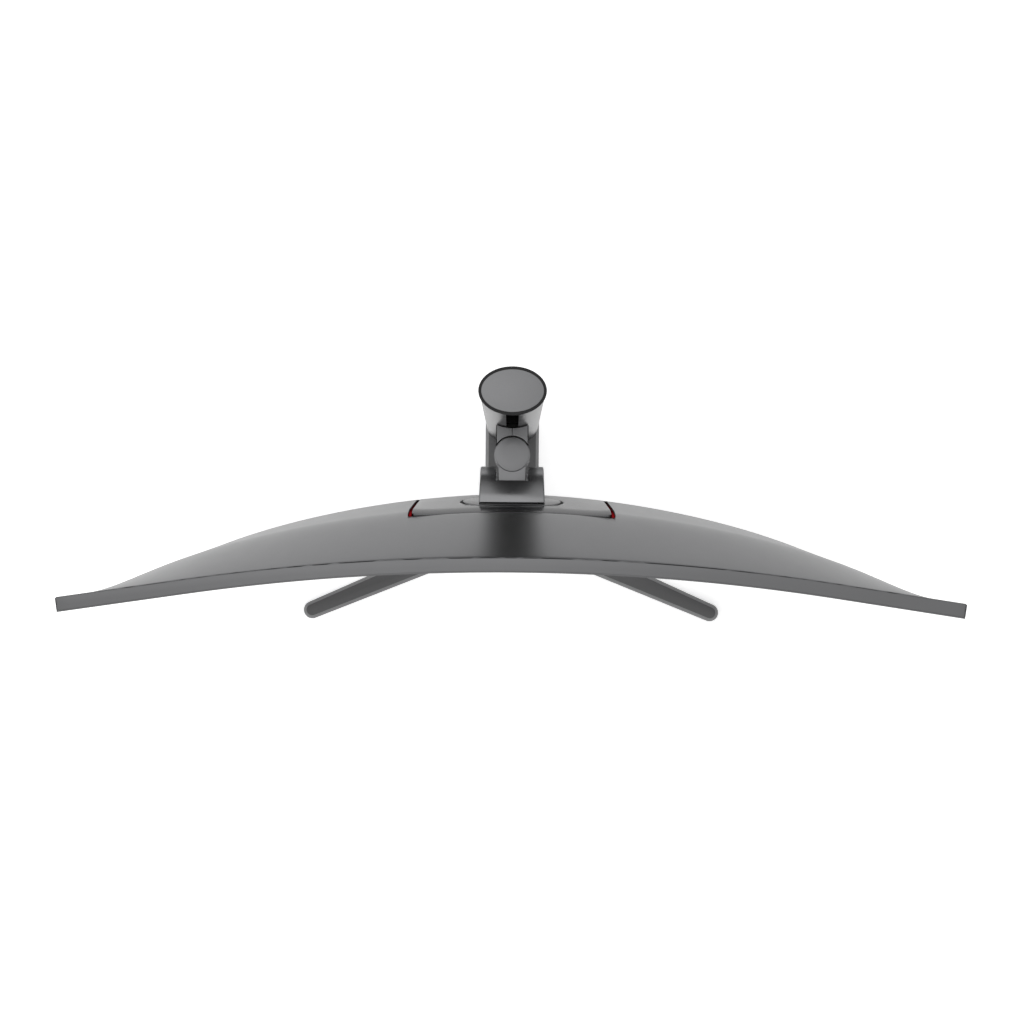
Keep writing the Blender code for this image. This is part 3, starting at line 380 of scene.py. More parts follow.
# ---- materials ----
class Graph:
    """Short calls for a material's nodes."""

    def __init__(self, name):
        self.made = bpy.data.materials.new(name)
        self.made.use_nodes = True
        self.tree = self.made.node_tree
        self.shader = self.tree.nodes["Principled BSDF"]
        self.where = self.tree.nodes.new("ShaderNodeTexCoord").outputs["Object"]

    def feed(self, node, inputs):
        """Link or set a node's inputs, given by name or number."""
        for key, value in inputs.items():
            if isinstance(value, bpy.types.NodeSocket):
                self.tree.links.new(value, node.inputs[key])
            elif value is not None:
                node.inputs[key].default_value = value

    def node(self, kind, inputs=None, **settings):
        node = self.tree.nodes.new(f"ShaderNode{kind}")
        for key, value in settings.items():
            setattr(node, key, value)
        self.feed(node, inputs or {})
        return node

    def stretched(self, scale):
        return self.node("Mapping", {"Vector": self.where, "Scale": scale}).outputs["Vector"]

    def noise(self, scale, detail=2.0, where=None):
        inputs = {"Vector": where or self.where, "Scale": scale, "Detail": detail}
        return self.node("TexNoise", inputs).outputs["Fac"]

    def ramp(self, value, low, high, to_low=0.0, to_high=1.0):
        inputs = {"Value": value, "From Min": low, "From Max": high, "To Min": to_low, "To Max": to_high}
        return self.node("MapRange", inputs).outputs["Result"]

    def mix(self, share, a, b):
        return self.node("Mix", {0: share, 6: a, 7: b}, data_type="RGBA").outputs[2]

    def math(self, operation, a, b):
        return self.node("Math", {0: a, 1: b}, operation=operation).outputs[0]

    def bump(self, height, distance):
        return self.node("Bump", {"Height": height, "Distance": distance, "Strength": 1.0}).outputs["Normal"]

    def finish(self, colour, roughness, normal=None, metallic=0.0, **more):
        inputs = {"Base Color": colour, "Roughness": roughness, "Normal": normal, "Metallic": metallic}
        self.feed(self.shader, inputs)
        self.feed(self.shader, {key.replace("_", " "): value for key, value in more.items()})
        return self.made


def shade(colour, factor=1.0):
    return (*(c * factor for c in colour), 1.0)


def moulded(name, colour, roughness, grain=0.0006, height=0.00003, mottle=0.05, metallic=0.0, **more):
    """Moulded or painted surface: a fine even texture, slightly uneven tone and gloss, and faint handling marks."""
    g = Graph(name)
    fine = g.noise(1 / grain, 2.0)
    broad = g.noise(9.0, 3.0)
    marks = g.noise(60.0, 4.0, g.stretched((1.0, 1.0, 0.35)))
    tone = g.mix(g.ramp(broad, 0.3, 0.7), shade(colour, 1 - mottle), shade(colour, 1 + mottle))
    speck = g.mix(g.ramp(fine, 0.35, 0.65), shade(colour, 0.90), shade(colour, 1.10))
    mixed = g.mix(0.35, tone, speck)
    gloss = g.ramp(marks, 0.3, 0.8, roughness - 0.008, roughness + 0.012)
    return g.finish(mixed, gloss, g.bump(fine, height) if height else None, metallic, **more)


def metal(name, colour, roughness, brush, height=0.00002, **more):
    """Brushed metal. brush is how the noise is stretched: small along the strokes."""
    g = Graph(name)
    strokes = g.noise(900.0, 3.0, g.stretched(brush))
    broad = g.noise(40.0, 3.0)
    tone = g.mix(g.ramp(strokes, 0.3, 0.7), shade(colour, 0.86), shade(colour, 1.08))
    drawn = g.ramp(strokes, 0.3, 0.7, roughness - 0.06, roughness + 0.08)
    gloss = g.math("ADD", drawn, g.ramp(broad, 0.4, 0.7, 0.0, 0.05))
    return g.finish(tone, gloss, g.bump(strokes, height), metallic=1.0, **more)


def screen_face(name, colour, roughness, depth):
    """The display's anti-glare face: near black, with a fine sparkle in the gloss."""
    g = Graph(name)
    haze = g.noise(5200.0, 1.0)
    broad = g.noise(5.0, 2.0)
    tone = g.mix(g.ramp(broad, 0.3, 0.7), shade(colour, 0.9), shade(colour, 1.15))
    gloss = g.ramp(haze, 0.35, 0.65, roughness - 0.03, roughness + 0.03)
    return g.finish(tone, gloss, g.bump(haze, depth), Specular_IOR_Level=0.30)


def circuit(name):
    """Green solder mask over copper tracks, with rows of pads."""
    g = Graph(name)
    turned_up = g.node("Mapping", {"Vector": g.where, "Rotation": (math.pi / 2, 0.0, 0.0)}).outputs["Vector"]
    tracks = g.node("TexBrick", {"Vector": turned_up, "Scale": 60.0, "Mortar Size": 0.03, "Brick Width": 0.8})
    pads = g.node("TexVoronoi", {"Vector": turned_up, "Scale": 420.0, "Randomness": 0.15})
    mask = g.mix(g.ramp(tracks.outputs["Fac"], 0.2, 0.8), (0.012, 0.075, 0.035, 1), (0.030, 0.150, 0.060, 1))
    dots = g.ramp(pads.outputs["Distance"], 0.18, 0.22, 1.0, 0.0)
    patch = g.math("MULTIPLY", dots, g.ramp(g.noise(70.0), 0.55, 0.60))
    tone = g.mix(patch, mask, (0.72, 0.70, 0.62, 1))
    return g.finish(tone, 0.38, g.bump(tracks.outputs["Fac"], 0.00005))


def rubber(name):
    g = Graph(name)
    fine = g.noise(2600.0, 3.0)
    dust = g.noise(160.0, 4.0)
    tone = g.mix(g.ramp(dust, 0.5, 0.8), (0.012, 0.012, 0.012, 1), (0.035, 0.034, 0.032, 1))
    return g.finish(tone, g.ramp(fine, 0.3, 0.7, 0.7, 0.88), g.bump(fine, 0.00004))


def red_with_painted_shade(name):
    """Matt red trim with painted shade that darkens it to black down its length, and painted light that makes its
    top end bright red.
    """
    g = Graph(name)
    height = g.node("SeparateXYZ", {"Vector": g.where}).outputs["Z"]
    # Painted shade: black low down and dark red higher up. Painted light: bright red near the top end.
    shaded_red = g.mix(g.ramp(height, 0.190, 0.250), (0.003, 0.002, 0.002, 1), (0.055, 0.003, 0.004, 1))
    painted_light = g.math("ADD", g.ramp(height, 0.290, 0.306), g.ramp(g.noise(30.0), 0.3, 0.7, -0.03, 0.03))
    tone = g.mix(painted_light, shaded_red, (0.27, 0.008, 0.010, 1))
    return g.finish(tone, g.ramp(g.noise(900.0), 0.3, 0.7, 0.36, 0.44), Specular_IOR_Level=0.0)


FLAKE = 0.88  # share of metal flake in the satin grey paint


def grey(name, tone, roughness, grain, height=0.00001, edge=1.0):
    """Satin grey with a fine metal flake. An edge below 1 dims what it reflects at a grazing angle."""
    colour = (tone, tone * 1.005, tone * 1.025)
    return moulded(name, colour, roughness, grain, height, 0.03, FLAKE, Specular_Tint=(edge, edge, edge, 1.0))


def casting(name, colour, roughness):
    """Matt grey paint over a casting."""
    return moulded(name, colour, roughness, 0.0006, 0.00001, 0.03, 0.2)


def make_finishes():
    """Every finish by name, with the record's material slot that it belongs to."""
    dull = {"Specular_IOR_Level": 0.25}
    acrylic = {"Transmission_Weight": 0.9, "IOR": 1.49}
    return {
        "shell": (grey("grey_shell", 0.158, 0.30, 0.0007, 0.0, 0.72), "grey_shell"),
        "band": (grey("grey_band", 0.150, 0.34, 0.0005, 0.0), "grey_shell"),
        "panel": (grey("grey_panel", 0.134, 0.20, 0.0007, 0.0, 0.46), "grey_shell"),
        "hood": (grey("grey_hood", 0.202, 0.22, 0.0006, 0.0, 0.35), "grey_shell"),
        "column": (grey("grey_column", 0.130, 0.28, 0.0010, edge=0.85), "grey_paint"),
        "cap": (grey("grey_cap", 0.186, 0.36, 0.0005, 0.0), "grey_paint"),
        "arm": (grey("grey_arm", 0.184, 0.34, 0.0005, 0.0), "grey_paint"),
        "base": (casting("dark_casting", (0.138, 0.138, 0.140), 0.55), "dark_paint"),
        # The chamfer's lighter grey is a painted highlight along the base's top edge.
        "chamfer": (casting("cast_chamfer_highlight", (0.295, 0.296, 0.299), 0.50), "dark_paint"),
        "rim": (moulded("dark_rim", (0.010, 0.010, 0.0105), 0.42, 0.0004, 0.00001, **dull), "dark_paint"),
        "black": (moulded("black_plastic", (0.012, 0.012, 0.013), 0.46, 0.0006, 0.00003), "dark_plastic"),
        # Near-black matt: the slider carriage's colour, and painted shade in the pad's gap, the grooves beside the
        # panel, the arm's slot end and edge ledges, and the column's inside.
        "black_and_painted_shade": (moulded("black_and_painted_shade_matt", (0.003, 0.003, 0.003), 0.80, 0.0006, 0.00003, **dull), "dark_plastic"),
        "chin": (moulded("chin_plastic", (0.014, 0.014, 0.015), 0.36, 0.0005, 0.00002), "dark_plastic"),
        "band_end_dark": (moulded("band_end_dark_grey", (0.022, 0.022, 0.023), 0.34, 0.0005, 0.00001), "dark_plastic"),
        "screen": (screen_face("screen_face", (0.005, 0.0052, 0.006), 0.24, 0.000004), "screen"),
        "border": (screen_face("screen_border", (0.0025, 0.0025, 0.003), 0.22, 0.000004), "screen"),
        "white": (moulded("white_diffuser", (0.78, 0.78, 0.76), 0.50, 0.0012, 0.00003, 0.02), "white_plastic"),
        "clear": (
            moulded("clear_acrylic", (0.80, 0.83, 0.85), 0.10, 0.004, 0.000005, 0.01, **acrylic),
            "clear_plastic",
        ),
        "board": (circuit("green_board"), "circuit_board"),
        "steel": (metal("zinc_steel", (0.56, 0.57, 0.58), 0.34, (0.05, 1.0, 1.0)), "steel"),
        "black_steel": (metal("black_oxide", (0.020, 0.020, 0.021), 0.50, (1.0, 1.0, 0.05)), "steel"),
        "spring": (metal("spring_steel", (0.16, 0.165, 0.175), 0.36, (1.0, 1.0, 0.04)), "spring_steel"),
        "brass": (metal("gold_contacts", (0.78, 0.56, 0.24), 0.28, (1.0, 1.0, 0.2)), "steel"),
        "rubber": (rubber("black_rubber"), "rubber"),
        "red": (red_with_painted_shade("red_trim"), "red_trim"),
    }


finishes = make_finishes()


# ---- pieces ----
def piece(name, mesh, body, finish, replaces=(), smooth=40, bevel=0.0, extra=()):
    """A piece of the visual model on a CAD body, standing for the CAD nodes in replaces.

    smooth is the angle in degrees up to which its faces shade as one. Faces are given the finishes in extra later.
    """
    made = bpy.data.objects.new(name, mesh)
    bpy.context.scene.collection.objects.link(made)
    mesh.materials.clear()
    for key in (finish, *extra):
        mesh.materials.append(finishes[key][0])
    mesh.shade_smooth()
    mesh.set_sharp_from_angle(angle=math.radians(smooth))
    if bevel:
        soft = made.modifiers.new("soft edges", "BEVEL")
        soft.width, soft.segments, soft.limit_method = bevel, 3, "ANGLE"
        soft.angle_limit = SOFT_ANGLE
        soft.harden_normals = True
    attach(made, body)
    if replaces:
        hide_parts(*replaces)


def dress(finish, *nodes, bevel=0.0):
    """Give kept CAD nodes their finish, and soften their edges."""
    for name in nodes:
        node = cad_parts[name]
        node.data.materials.clear()
        node.data.materials.append(finishes[finish][0])
        if bevel:
            weld = node.modifiers.new("weld", "WELD")
            weld.merge_threshold = 1e-6
            soft = node.modifiers.new("soft edges", "BEVEL")
            soft.width, soft.segments, soft.limit_method = bevel, 2, "ANGLE"
            soft.angle_limit = SOFT_ANGLE


# ---- the display's curved surfaces ----
def on_curve(s, t):
    """The point that is s along the front face from its middle and t behind it, in X and Y."""
    bent = min(abs(s), ARC_HALF)
    angle = bent / SCREEN_RADIUS
    straight = abs(s) - bent
    radius = SCREEN_RADIUS + t
    x = radius * math.sin(angle) + straight * math.cos(angle)
    y = FRONT_Y - SCREEN_RADIUS + radius * math.cos(angle) - straight * math.sin(angle)
    return math.copysign(x, s), y


def bulge_share(s):
    reach = min(abs(s) / BULGE_HALF_LENGTH, 1.0)
    return (1 - reach**BULGE_POWER) ** BULGE_ROOT


def lean_depth(z):
    """Depth of the leaning face behind the band at a height, down the middle."""
    return LEAN_Y + (LEAN_Z - z) * LEAN - FRONT_Y - BAND_DEPTH - GAP


def cover_profile():
    """Height and depth of the rear cover down its middle, from the bottom edge to the top edge."""
    low, high = BOTTOM_Z + COVER_INSET, TOP_Z - COVER_INSET
    bend_depth = lean_depth(SHELF_BEND_Z)
    corners = [  # height, depth, radius
        (low, COVER_RIM, 0.0), (0.100, 0.0055, 0.05), (0.144, 0.0085, 0.004), (SHELF_Z, 0.0115, 0.0030),
        (SHELF_Z, bend_depth, 0.0100), (SHELF_BEND_Z, bend_depth, 0.040), (CROWN_Z, lean_depth(CROWN_Z), 0.0),
    ]
    face = round_corners(corners, 10)
    # The crown is a cubic curve that leaves along the leaning face and ends at the rim.
    start = Vector((CROWN_Z, lean_depth(CROWN_Z)))
    hold = (start, start + 0.035 * Vector((1.0, -LEAN)), Vector((0.385, 0.015)), Vector((high, COVER_RIM)))
    crown, crown_steps = [], 48
    for k in range(1, crown_steps + 1):
        u = k / crown_steps
        weights = ((1 - u) ** 3, 3 * u * (1 - u) ** 2, 3 * u * u * (1 - u), u**3)
        crown.append(sum((w * p for w, p in zip(weights, hold)), Vector((0.0, 0.0))))
    return divide(face + crown, 0.006, closed=False)


PROFILE = cover_profile()
lengths = [0.0]
for before, after in zip(PROFILE, PROFILE[1:]):
    lengths.append(lengths[-1] + (after - before).length)
PROFILE_Z = np.array([p.x for p in PROFILE])
PROFILE_DEPTH = np.array([p.y for p in PROFILE])
LENGTHS = np.array(lengths)
SHELF_END = float(LENGTHS[np.argmax(PROFILE_DEPTH)])
ABOVE_SHELF = PROFILE_Z > SHELF_Z + 0.0005


def cover_point(s, v):
    """The rear cover's outer face, s along the screen and v along its profile."""
    z, depth = float(np.interp(v, LENGTHS, PROFILE_Z)), float(np.interp(v, LENGTHS, PROFILE_DEPTH))
    depth = COVER_RIM + (depth - COVER_RIM) * bulge_share(s)
    return Vector((*on_curve(s, BAND_DEPTH + GAP + depth), z))


def face_depth(z):
    """The profile's depth at a height above the shelf."""
    return float(np.interp(z, PROFILE_Z[ABOVE_SHELF], PROFILE_DEPTH[ABOVE_SHELF]))


def face_length(z):
    """How far along the profile a height above the shelf is."""
    return float(np.interp(z, PROFILE_Z[ABOVE_SHELF], LENGTHS[ABOVE_SHELF]))


def panel_width(z):
    """The centre panel's width at a height, as a share of its width at LEAN_Z."""
    return 1 + PANEL_TAPER * (z - LEAN_Z)


def panel_point(x, z):
    """The centre panel's outer face. It curves away less than the cover, so its upper corners stand proud."""
    middle = face_depth(z)
    s = x * panel_width(z) * SCREEN_RADIUS / (SCREEN_RADIUS + BAND_DEPTH + middle)
    rise = (z - PANEL_BOTTOM_Z) / (PANEL_TOP_Z - PANEL_BOTTOM_Z)
    proud = rise * min(abs(x) / PANEL_HALF_X, 1.0) ** 5
    share = 1 - (1 - proud) * (1 - bulge_share(s))
    return Vector((*on_curve(s, BAND_DEPTH + GAP + COVER_RIM + (middle - COVER_RIM) * share), z))


def to_cover(x, z):
    """A point of the cover's face, given as X and height, in the cover's own lengths."""
    s = x * panel_width(z) * SCREEN_RADIUS / (SCREEN_RADIUS + BAND_DEPTH + face_depth(z))
    return Vector((s, face_length(z)))


def to_shelf(x, y):
    """A point of the shelf under the bulge, given as X and Y, in the cover's own lengths."""
    s = x
    low, high = float(LENGTHS[np.searchsorted(LENGTHS, SHELF_START)]), SHELF_END
    for _ in range(40):
        v = (low + high) / 2
        here = cover_point(s, v)
        s += x - here.x
        if here.y < y:
            low = v
        else:
            high = v
    return Vector((s, v))


def symmetric(values):
    """Values from 0 up, with their mirror image before them."""
    return [-v for v in reversed(values[1:])] + values


def rear_cover():
    """The bulging rear cover, with openings for the centre panel, the sockets and the vents."""
    end = HALF_LENGTH - COVER_END_INSET
    outline = divide(rectangle((-end, 0.0), (end, float(LENGTHS[-1])), 0.0022), 0.008)
    # Even lines over the bulge, closer ones where it runs out, and a few on the flat ends.
    bulge = [0.008 * k for k in range(43)]
    runout = [BULGE_HALF_LENGTH - 0.028 * (k / 11) ** 2.3 for k in range(10, -1, -1)]
    lines = symmetric(bulge + runout + [0.380, 0.388, 0.396])
    low, high = (-OPENING_HALF_X, PANEL_BOTTOM_Z - OPENING_SLACK), (OPENING_HALF_X, PANEL_TOP_Z + OPENING_SLACK)
    holes = [[to_cover(*p) for p in divide(rectangle(low, high, OPENING_CORNER), 0.004)]]
    holes.append([to_shelf(*p) for p in divide(rectangle(BAY_LOW, BAY_HIGH, 0.0015, 3), 0.004)])
    for k in range(VENT_COUNT):
        x = VENT_START_X + VENT_PITCH * k
        vent = rectangle((x, VENT_LOW_Y), (x + VENT_WIDTH, VENT_HIGH_Y), 0.0015, 3)
        holes.append([to_shelf(*p) for p in divide(vent, 0.003)])
    mesh = shell("rear_cover_shell", outline, holes, lines, list(LENGTHS), cover_point, COVER_WALL, 0.0003, 0.0016)
    piece("rear_cover_shell", mesh, "display", "shell", ["rear_cover"], 40)


def centre_panel():
    """The panel round the mounting pad, with its hole's wall painted black as shade, and what lies in the grooves
    beside it: a red strip with painted shade down its length, and a black strip of painted shade.
    """
    corners = (-PANEL_HALF_X, PANEL_BOTTOM_Z), (PANEL_HALF_X, PANEL_TOP_Z)
    outline = divide(rectangle(*corners, PANEL_CORNER), 0.004)
    hole_radius = DISC_RADIUS + PANEL_HOLE_SLACK
    hole = [Vector((p.x / panel_width(p.y), p.y)) for p in circle(hole_radius, 128, (0.0, LEAN_Z))]
    us = [0.006 * k for k in range(-17, 18)]
    vs = [PANEL_BOTTOM_Z + 0.005 * k for k in range(30)]
    mesh = shell("centre_panel", outline, [hole], us, vs, panel_point, 0.0025, 0.0005, 0.0014)
    piece("centre_panel", mesh, "display", "panel", ["centre_cover"], 40, extra=("black_and_painted_shade",))
    # Painted shade: the wall and rounded lip of the pad's hole are painted black, so the gap round the pad shows as
    # a dark line.
    for face in mesh.polygons:
        reach = math.hypot(face.center.x, face.center.z - LEAN_Z)
        face.material_index = int(reach < hole_radius + 0.0007)
    strips = (
        # The second strip is black painted shade along the groove's outer wall.
        ("accent", PANEL_HALF_X + GAP, OPENING_HALF_X - 0.0009, 0.0012, 0.0030, "red"),
        ("groove_shade_strip", OPENING_HALF_X - 0.0008, OPENING_HALF_X - 0.0001, 0.0003, 0.0046, "black_and_painted_shade"),
    )
    for side, name in ((-1, "left"), (1, "right")):
        for part, inner, outer, sink, wall, finish in strips:
            low, high = sorted((side * inner, side * outer))
            strip = divide(rectangle((low, PANEL_BOTTOM_Z + 0.002), (high, PANEL_TOP_Z - 0.001), 0.0003, 2), 0.004)
            sunk = shell(f"{part}_{name}", strip, [], [(low + high) / 2], vs, panel_point, wall, 0.0002, 0.0004)
            reshape(sunk, lambda p, depth=sink: p + Vector((0.0, -depth, 0.0)))
            replaced = [f"accent_strip_{name}"] if part == "accent" else ()
            piece(f"{part}_{name}", sunk, "display", finish, replaced, 40)


def mount_disc():
    """The round pad that the stand fixes to, in the panel's opening, and a near-black ring of painted shade in the
    gap round it.
    """
    radius, outside = DISC_RADIUS - PAD_SLACK, DISC_RADIUS + 0.0006
    steps = [(radius, -0.0030), *((radius - d, -drop) for d, drop in quarter(0.0006, 4))]
    mesh = turned("mounting_pad", steps, (0.0, 0.0), count=128)
    # Painted shade: the ring under the gap is near-black.
    low, high = -0.0028, -0.0013
    floor = [(radius + GAP, low), (outside, low), (outside, high), (radius + GAP, high)]
    groove = turned("pad_groove", floor, (0.0, 0.0), count=128, ring=True)

    def lay(p):
        """From lying flat to facing the rear on the leaning face."""
        z = LEAN_Z + p.y
        return Vector((p.x, LEAN_Y + (LEAN_Z - z) * LEAN + p.z - PAD_SINK, z))

    for made, finish, replaced in ((mesh, "panel", ["mount_disc"]), (groove, "black_and_painted_shade", ())):
        reshape(made, lay)
        made.flip_normals()
        piece(made.name, made, "display", finish, replaced, 40)


def band():
    """The band round the display: a smooth outer wall with round edges and a thin line near its front."""
    outline = divide(rectangle((-HALF_LENGTH, BOTTOM_Z), (HALF_LENGTH, TOP_Z), BAND_CORNER, 8), 0.010)
    section = list(reversed(quarter(0.0004, 3)))  # distance in from the outside, depth behind the front
    section += [(0.0, 0.0011), (0.00025, 0.0012), (0.00025, 0.0015), (0.0, 0.0016)]
    section += [(0.0, 0.0060), *((d, BAND_DEPTH - drop) for d, drop in quarter(0.0002, 3))]
    section += [(BAND_WALL, BAND_DEPTH), (BAND_WALL, 0.0)]
    rows = [[Vector((*on_curve(p.x, t), p.y)) for p in inset(outline, d)] for d, t in section]
    mesh = skin("edge_band", rows, ring=True)
    for x, radius, count in ((0.0, KNOB_HOLE_RADIUS, 48), (LED_X, LED_HOLE_RADIUS, 24)):
        hole = slab("hole", circle(radius, count, (x, KNOB_Y)), [(0.0, 0.03), (0.0, 0.05)])
        mesh = boolean(mesh, hole)
    piece("edge_band", mesh, "display", "band", ["middle_frame"], 30, extra=("band_end_dark",))
    # Faces near each end get the darker grey.
    for face in mesh.polygons:
        if abs(face.center.x) > FRAME_HIGH.x - END_DARK_WIDTH:
            face.material_index = 1


def curved_sheet(name, low, high, front, back, edge, across):
    """A plate between heights, bent to the screen's curve, with its long lines at the given heights."""
    half = HALF_LENGTH - BAND_WALL - GAP
    outline = divide(rectangle((-half, low), (half, high), 0.0009, 3), 0.010)
    us = [0.0105 * k for k in range(-38, 39)]

    def place(u, v):
        return Vector((*on_curve(-u, front), v))

    return shell(name, outline, [], us, across, place, back - front, edge, 0.003)


def screen():
    """The screen's bonded sheet with its dark border, the picture area on it, and the chin under it."""
    low, high = CHIN_TOP_Z + GAP, TOP_Z - BAND_WALL - GAP
    active_low, active_high, active_half = low + 0.0012, high - 0.0062, 0.3965
    rows = [active_low, active_high] + [low + 0.02 * k for k in range(1, 17)]
    mesh = curved_sheet("screen_panel", low, high, 0.0004, 0.0022, 0.0003, sorted(rows))
    piece("screen_panel", mesh, "display", "border", ["lcd_panel"], 40)
    outline = divide(rectangle((-active_half, active_low), (active_half, active_high), 0.0002, 2), 0.010)
    us = [0.0105 * k for k in range(-37, 38)]
    picture = shell("screen_picture_area", outline, [], us, sorted(rows),
                    lambda u, v: Vector((*on_curve(-u, 0.00035), v)), 0.00015, 0.00003, 0.003)
    piece("screen_picture_area", picture, "display", "screen", (), 40)
    chin_low = BOTTOM_Z + BAND_WALL + GAP
    chin = curved_sheet("chin_bar", chin_low, CHIN_TOP_Z, 0.0002, 0.0022, 0.0004, [0.050, 0.055, 0.060])
    piece("chin_bar", chin, "display", "chin", ["bottom_chin"], 40)


# ---- hood, arm and swivel ----
def hood_outline(inner):
    """The hood from the side, as Y and Z, moved inwards by a distance."""
    rear, top = HOOD_ROUND_Y + HOOD_RADIUS, HOOD_ROUND_Z + HOOD_RADIUS
    corners = [(HOOD_FRONT_Y, HOOD_LOW_Z, 0.0), (rear, HOOD_LOW_Z, 0.010), (rear, top, HOOD_RADIUS),
               (HOOD_FRONT_Y, top, 0.0)]
    return inset(round_corners(corners, 24), inner)


def hood():
    """The hollow hood over the tilt hinge, slotted at the rear for the arm, a little wider towards the display."""
    outer = along_x("hinge_shroud", hood_outline(0.0), levels(-HOOD_HALF_X, HOOD_HALF_X, HOOD_EDGE, HOOD_EDGE, 5))
    outer = trim(outer, (0.0, LEAN_Y + GAP, LEAN_Z), (0.0, -1.0, -LEAN))
    inside_x = HOOD_HALF_X - HOOD_WALL
    outer = boolean(outer, along_x("hollow", hood_outline(HOOD_WALL), [(0.0, -inside_x), (0.0, inside_x)]))
    outer = boolean(outer, cuboid("slot", (-HOOD_SLOT_HALF_X, HOOD_SLOT_Y, 0.18), (HOOD_SLOT_HALF_X, 0.06, 0.27)))
    rear = HOOD_ROUND_Y + HOOD_RADIUS

    def flared(p):
        share = HOOD_FLARE * (rear - p.y) ** 2 / rear if abs(p.x) > HOOD_FLARE_X else 0.0
        return Vector((p.x * (1 + share), p.y, p.z))

    reshape(outer, flared)
    piece("hinge_shroud", outer, "display", "hood", ["hinge_hood"], 35, bevel=0.0003)


def rear_arm():
    """The arm out of the column, with a seam along the middle of its top and a round seat for the swivel."""
    swivel = (0.0, SWIVEL_Y)
    ledge_x, ledge_z, groove_x = ARM_HALF_X - ARM_LEDGE, ARM_TOP_Z - ARM_STEP, 0.00035
    side = [(ARM_HALF_X, ARM_LOW_Z, 0.0006), (ARM_HALF_X, ledge_z, 0.0002), (ledge_x, ledge_z, 0.0),
            (ledge_x, ARM_TOP_Z, 0.0003), (groove_x, ARM_TOP_Z, 0.0)]
    corners = [*side, (0.0, ARM_TOP_Z - 0.0006, 0.0), *((-x, z, r) for x, z, r in reversed(side))]
    arm = along_y("lift_arm", round_corners(corners, 5), SWIVEL_Y, 0.0850)
    air = [(ARM_CLEARANCE, 0.2), (ARM_CLEARANCE, 0.25)]
    arm = boolean(arm, turned("clear", air, (0.0, COLUMN_Y), (COLUMN_X, COLUMN_DEPTH), 128))
    arm = boolean(arm, turned("seat", [(SEAT_RADIUS, KNUCKLE_Z), (SEAT_RADIUS, 0.26)], swivel))
    knuckle = [(KNUCKLE_RADIUS - d, z) for d, z in levels(ARM_LOW_Z, KNUCKLE_Z, 0.0010, 0.0004)]
    arm = boolean(arm, turned("knuckle", knuckle, swivel), "UNION")
    tongue = cuboid("tongue", (-TONGUE_HALF_X, 0.0740, 0.2130), (TONGUE_HALF_X, COLUMN_Y - 0.0175, 0.2390))
    arm = boolean(arm, tongue, "UNION")
    arm = boolean(arm, turned("bore", [(BUSHING_RADIUS, 0.2), (BUSHING_RADIUS, 0.24)], swivel, count=48))
    piece("lift_arm", arm, "carriage", "arm", ["rear_arm"], 35, extra=("black_and_painted_shade",))
    # Painted shade: the tongue's end in the column's slot and the narrow ledges along the top edges are painted
    # black, for the dark gap and the dark lines along the arm's edges.
    for face in arm.polygons:
        x, y, z = face.center
        in_slot = y > COLUMN_Y - COLUMN_DEPTH - 0.0011 and abs(x) < TONGUE_HALF_X + 0.0002
        on_ledge = abs(x) > ledge_x and abs(z - ledge_z) < 0.0004 and face.normal.z > 0.5
        face.material_index = 1 if in_slot or on_ledge else 0


def front_arm():
    """The boss on the swivel, its lid, and the neck that reaches into the hood."""
    swivel = (0.0, SWIVEL_Y)
    boss_low, boss_top = KNUCKLE_Z + GAP, ARM_TOP_Z - 0.0033
    boss = turned("swivel_arm", [(CAP_RADIUS - d, z) for d, z in levels(boss_low, boss_top, 0.0004, 0.0)], swivel)
    barrel, neck_rear = ARM_TOP_Z - TILT_Z, SWIVEL_Y - 0.003
    round_end = [math.pi / 2 + math.pi * k / 20 for k in range(21)]
    outline = [Vector((neck_rear, ARM_TOP_Z))]
    outline += [Vector((TILT_Y + barrel * math.cos(a), TILT_Z + barrel * math.sin(a))) for a in round_end]
    outline += [Vector((neck_rear, TILT_Z - barrel))]
    arm = boolean(boss, along_x("neck", outline, levels(-NECK_HALF_X, NECK_HALF_X, 0.0007, 0.0007, 3)), "UNION")
    lid_seat = CAP_RADIUS + 0.0004
    arm = boolean(arm, turned("seat", [(lid_seat, boss_top), (lid_seat, 0.26)], swivel))
    arm = boolean(arm, turned("clear", [(SEAT_RADIUS, 0.2), (SEAT_RADIUS, boss_low)], swivel))
    arm = boolean(arm, turned("bore", [(SWIVEL_PIN_RADIUS, 0.2), (SWIVEL_PIN_RADIUS, 0.25)], swivel, count=48))
    arm = boolean(arm, cylinder_x("pin", TILT_PIN_RADIUS, -0.03, 0.03, TILT_Y, TILT_Z))
    piece("swivel_arm", arm, "swivel_arm", "arm", ["front_arm"], 35)
    lid = [(CAP_RADIUS - d, z) for d, z in levels(boss_top + 0.0005, ARM_TOP_Z - 0.0001, 0.0002, 0.0005)]
    lid += [(CAP_RADIUS * 0.5, ARM_TOP_Z), (CAP_RADIUS * 0.1, ARM_TOP_Z)]
    piece("swivel_lid", turned("swivel_lid", lid, swivel), "swivel_arm", "arm", ["swivel_cap"], 40)


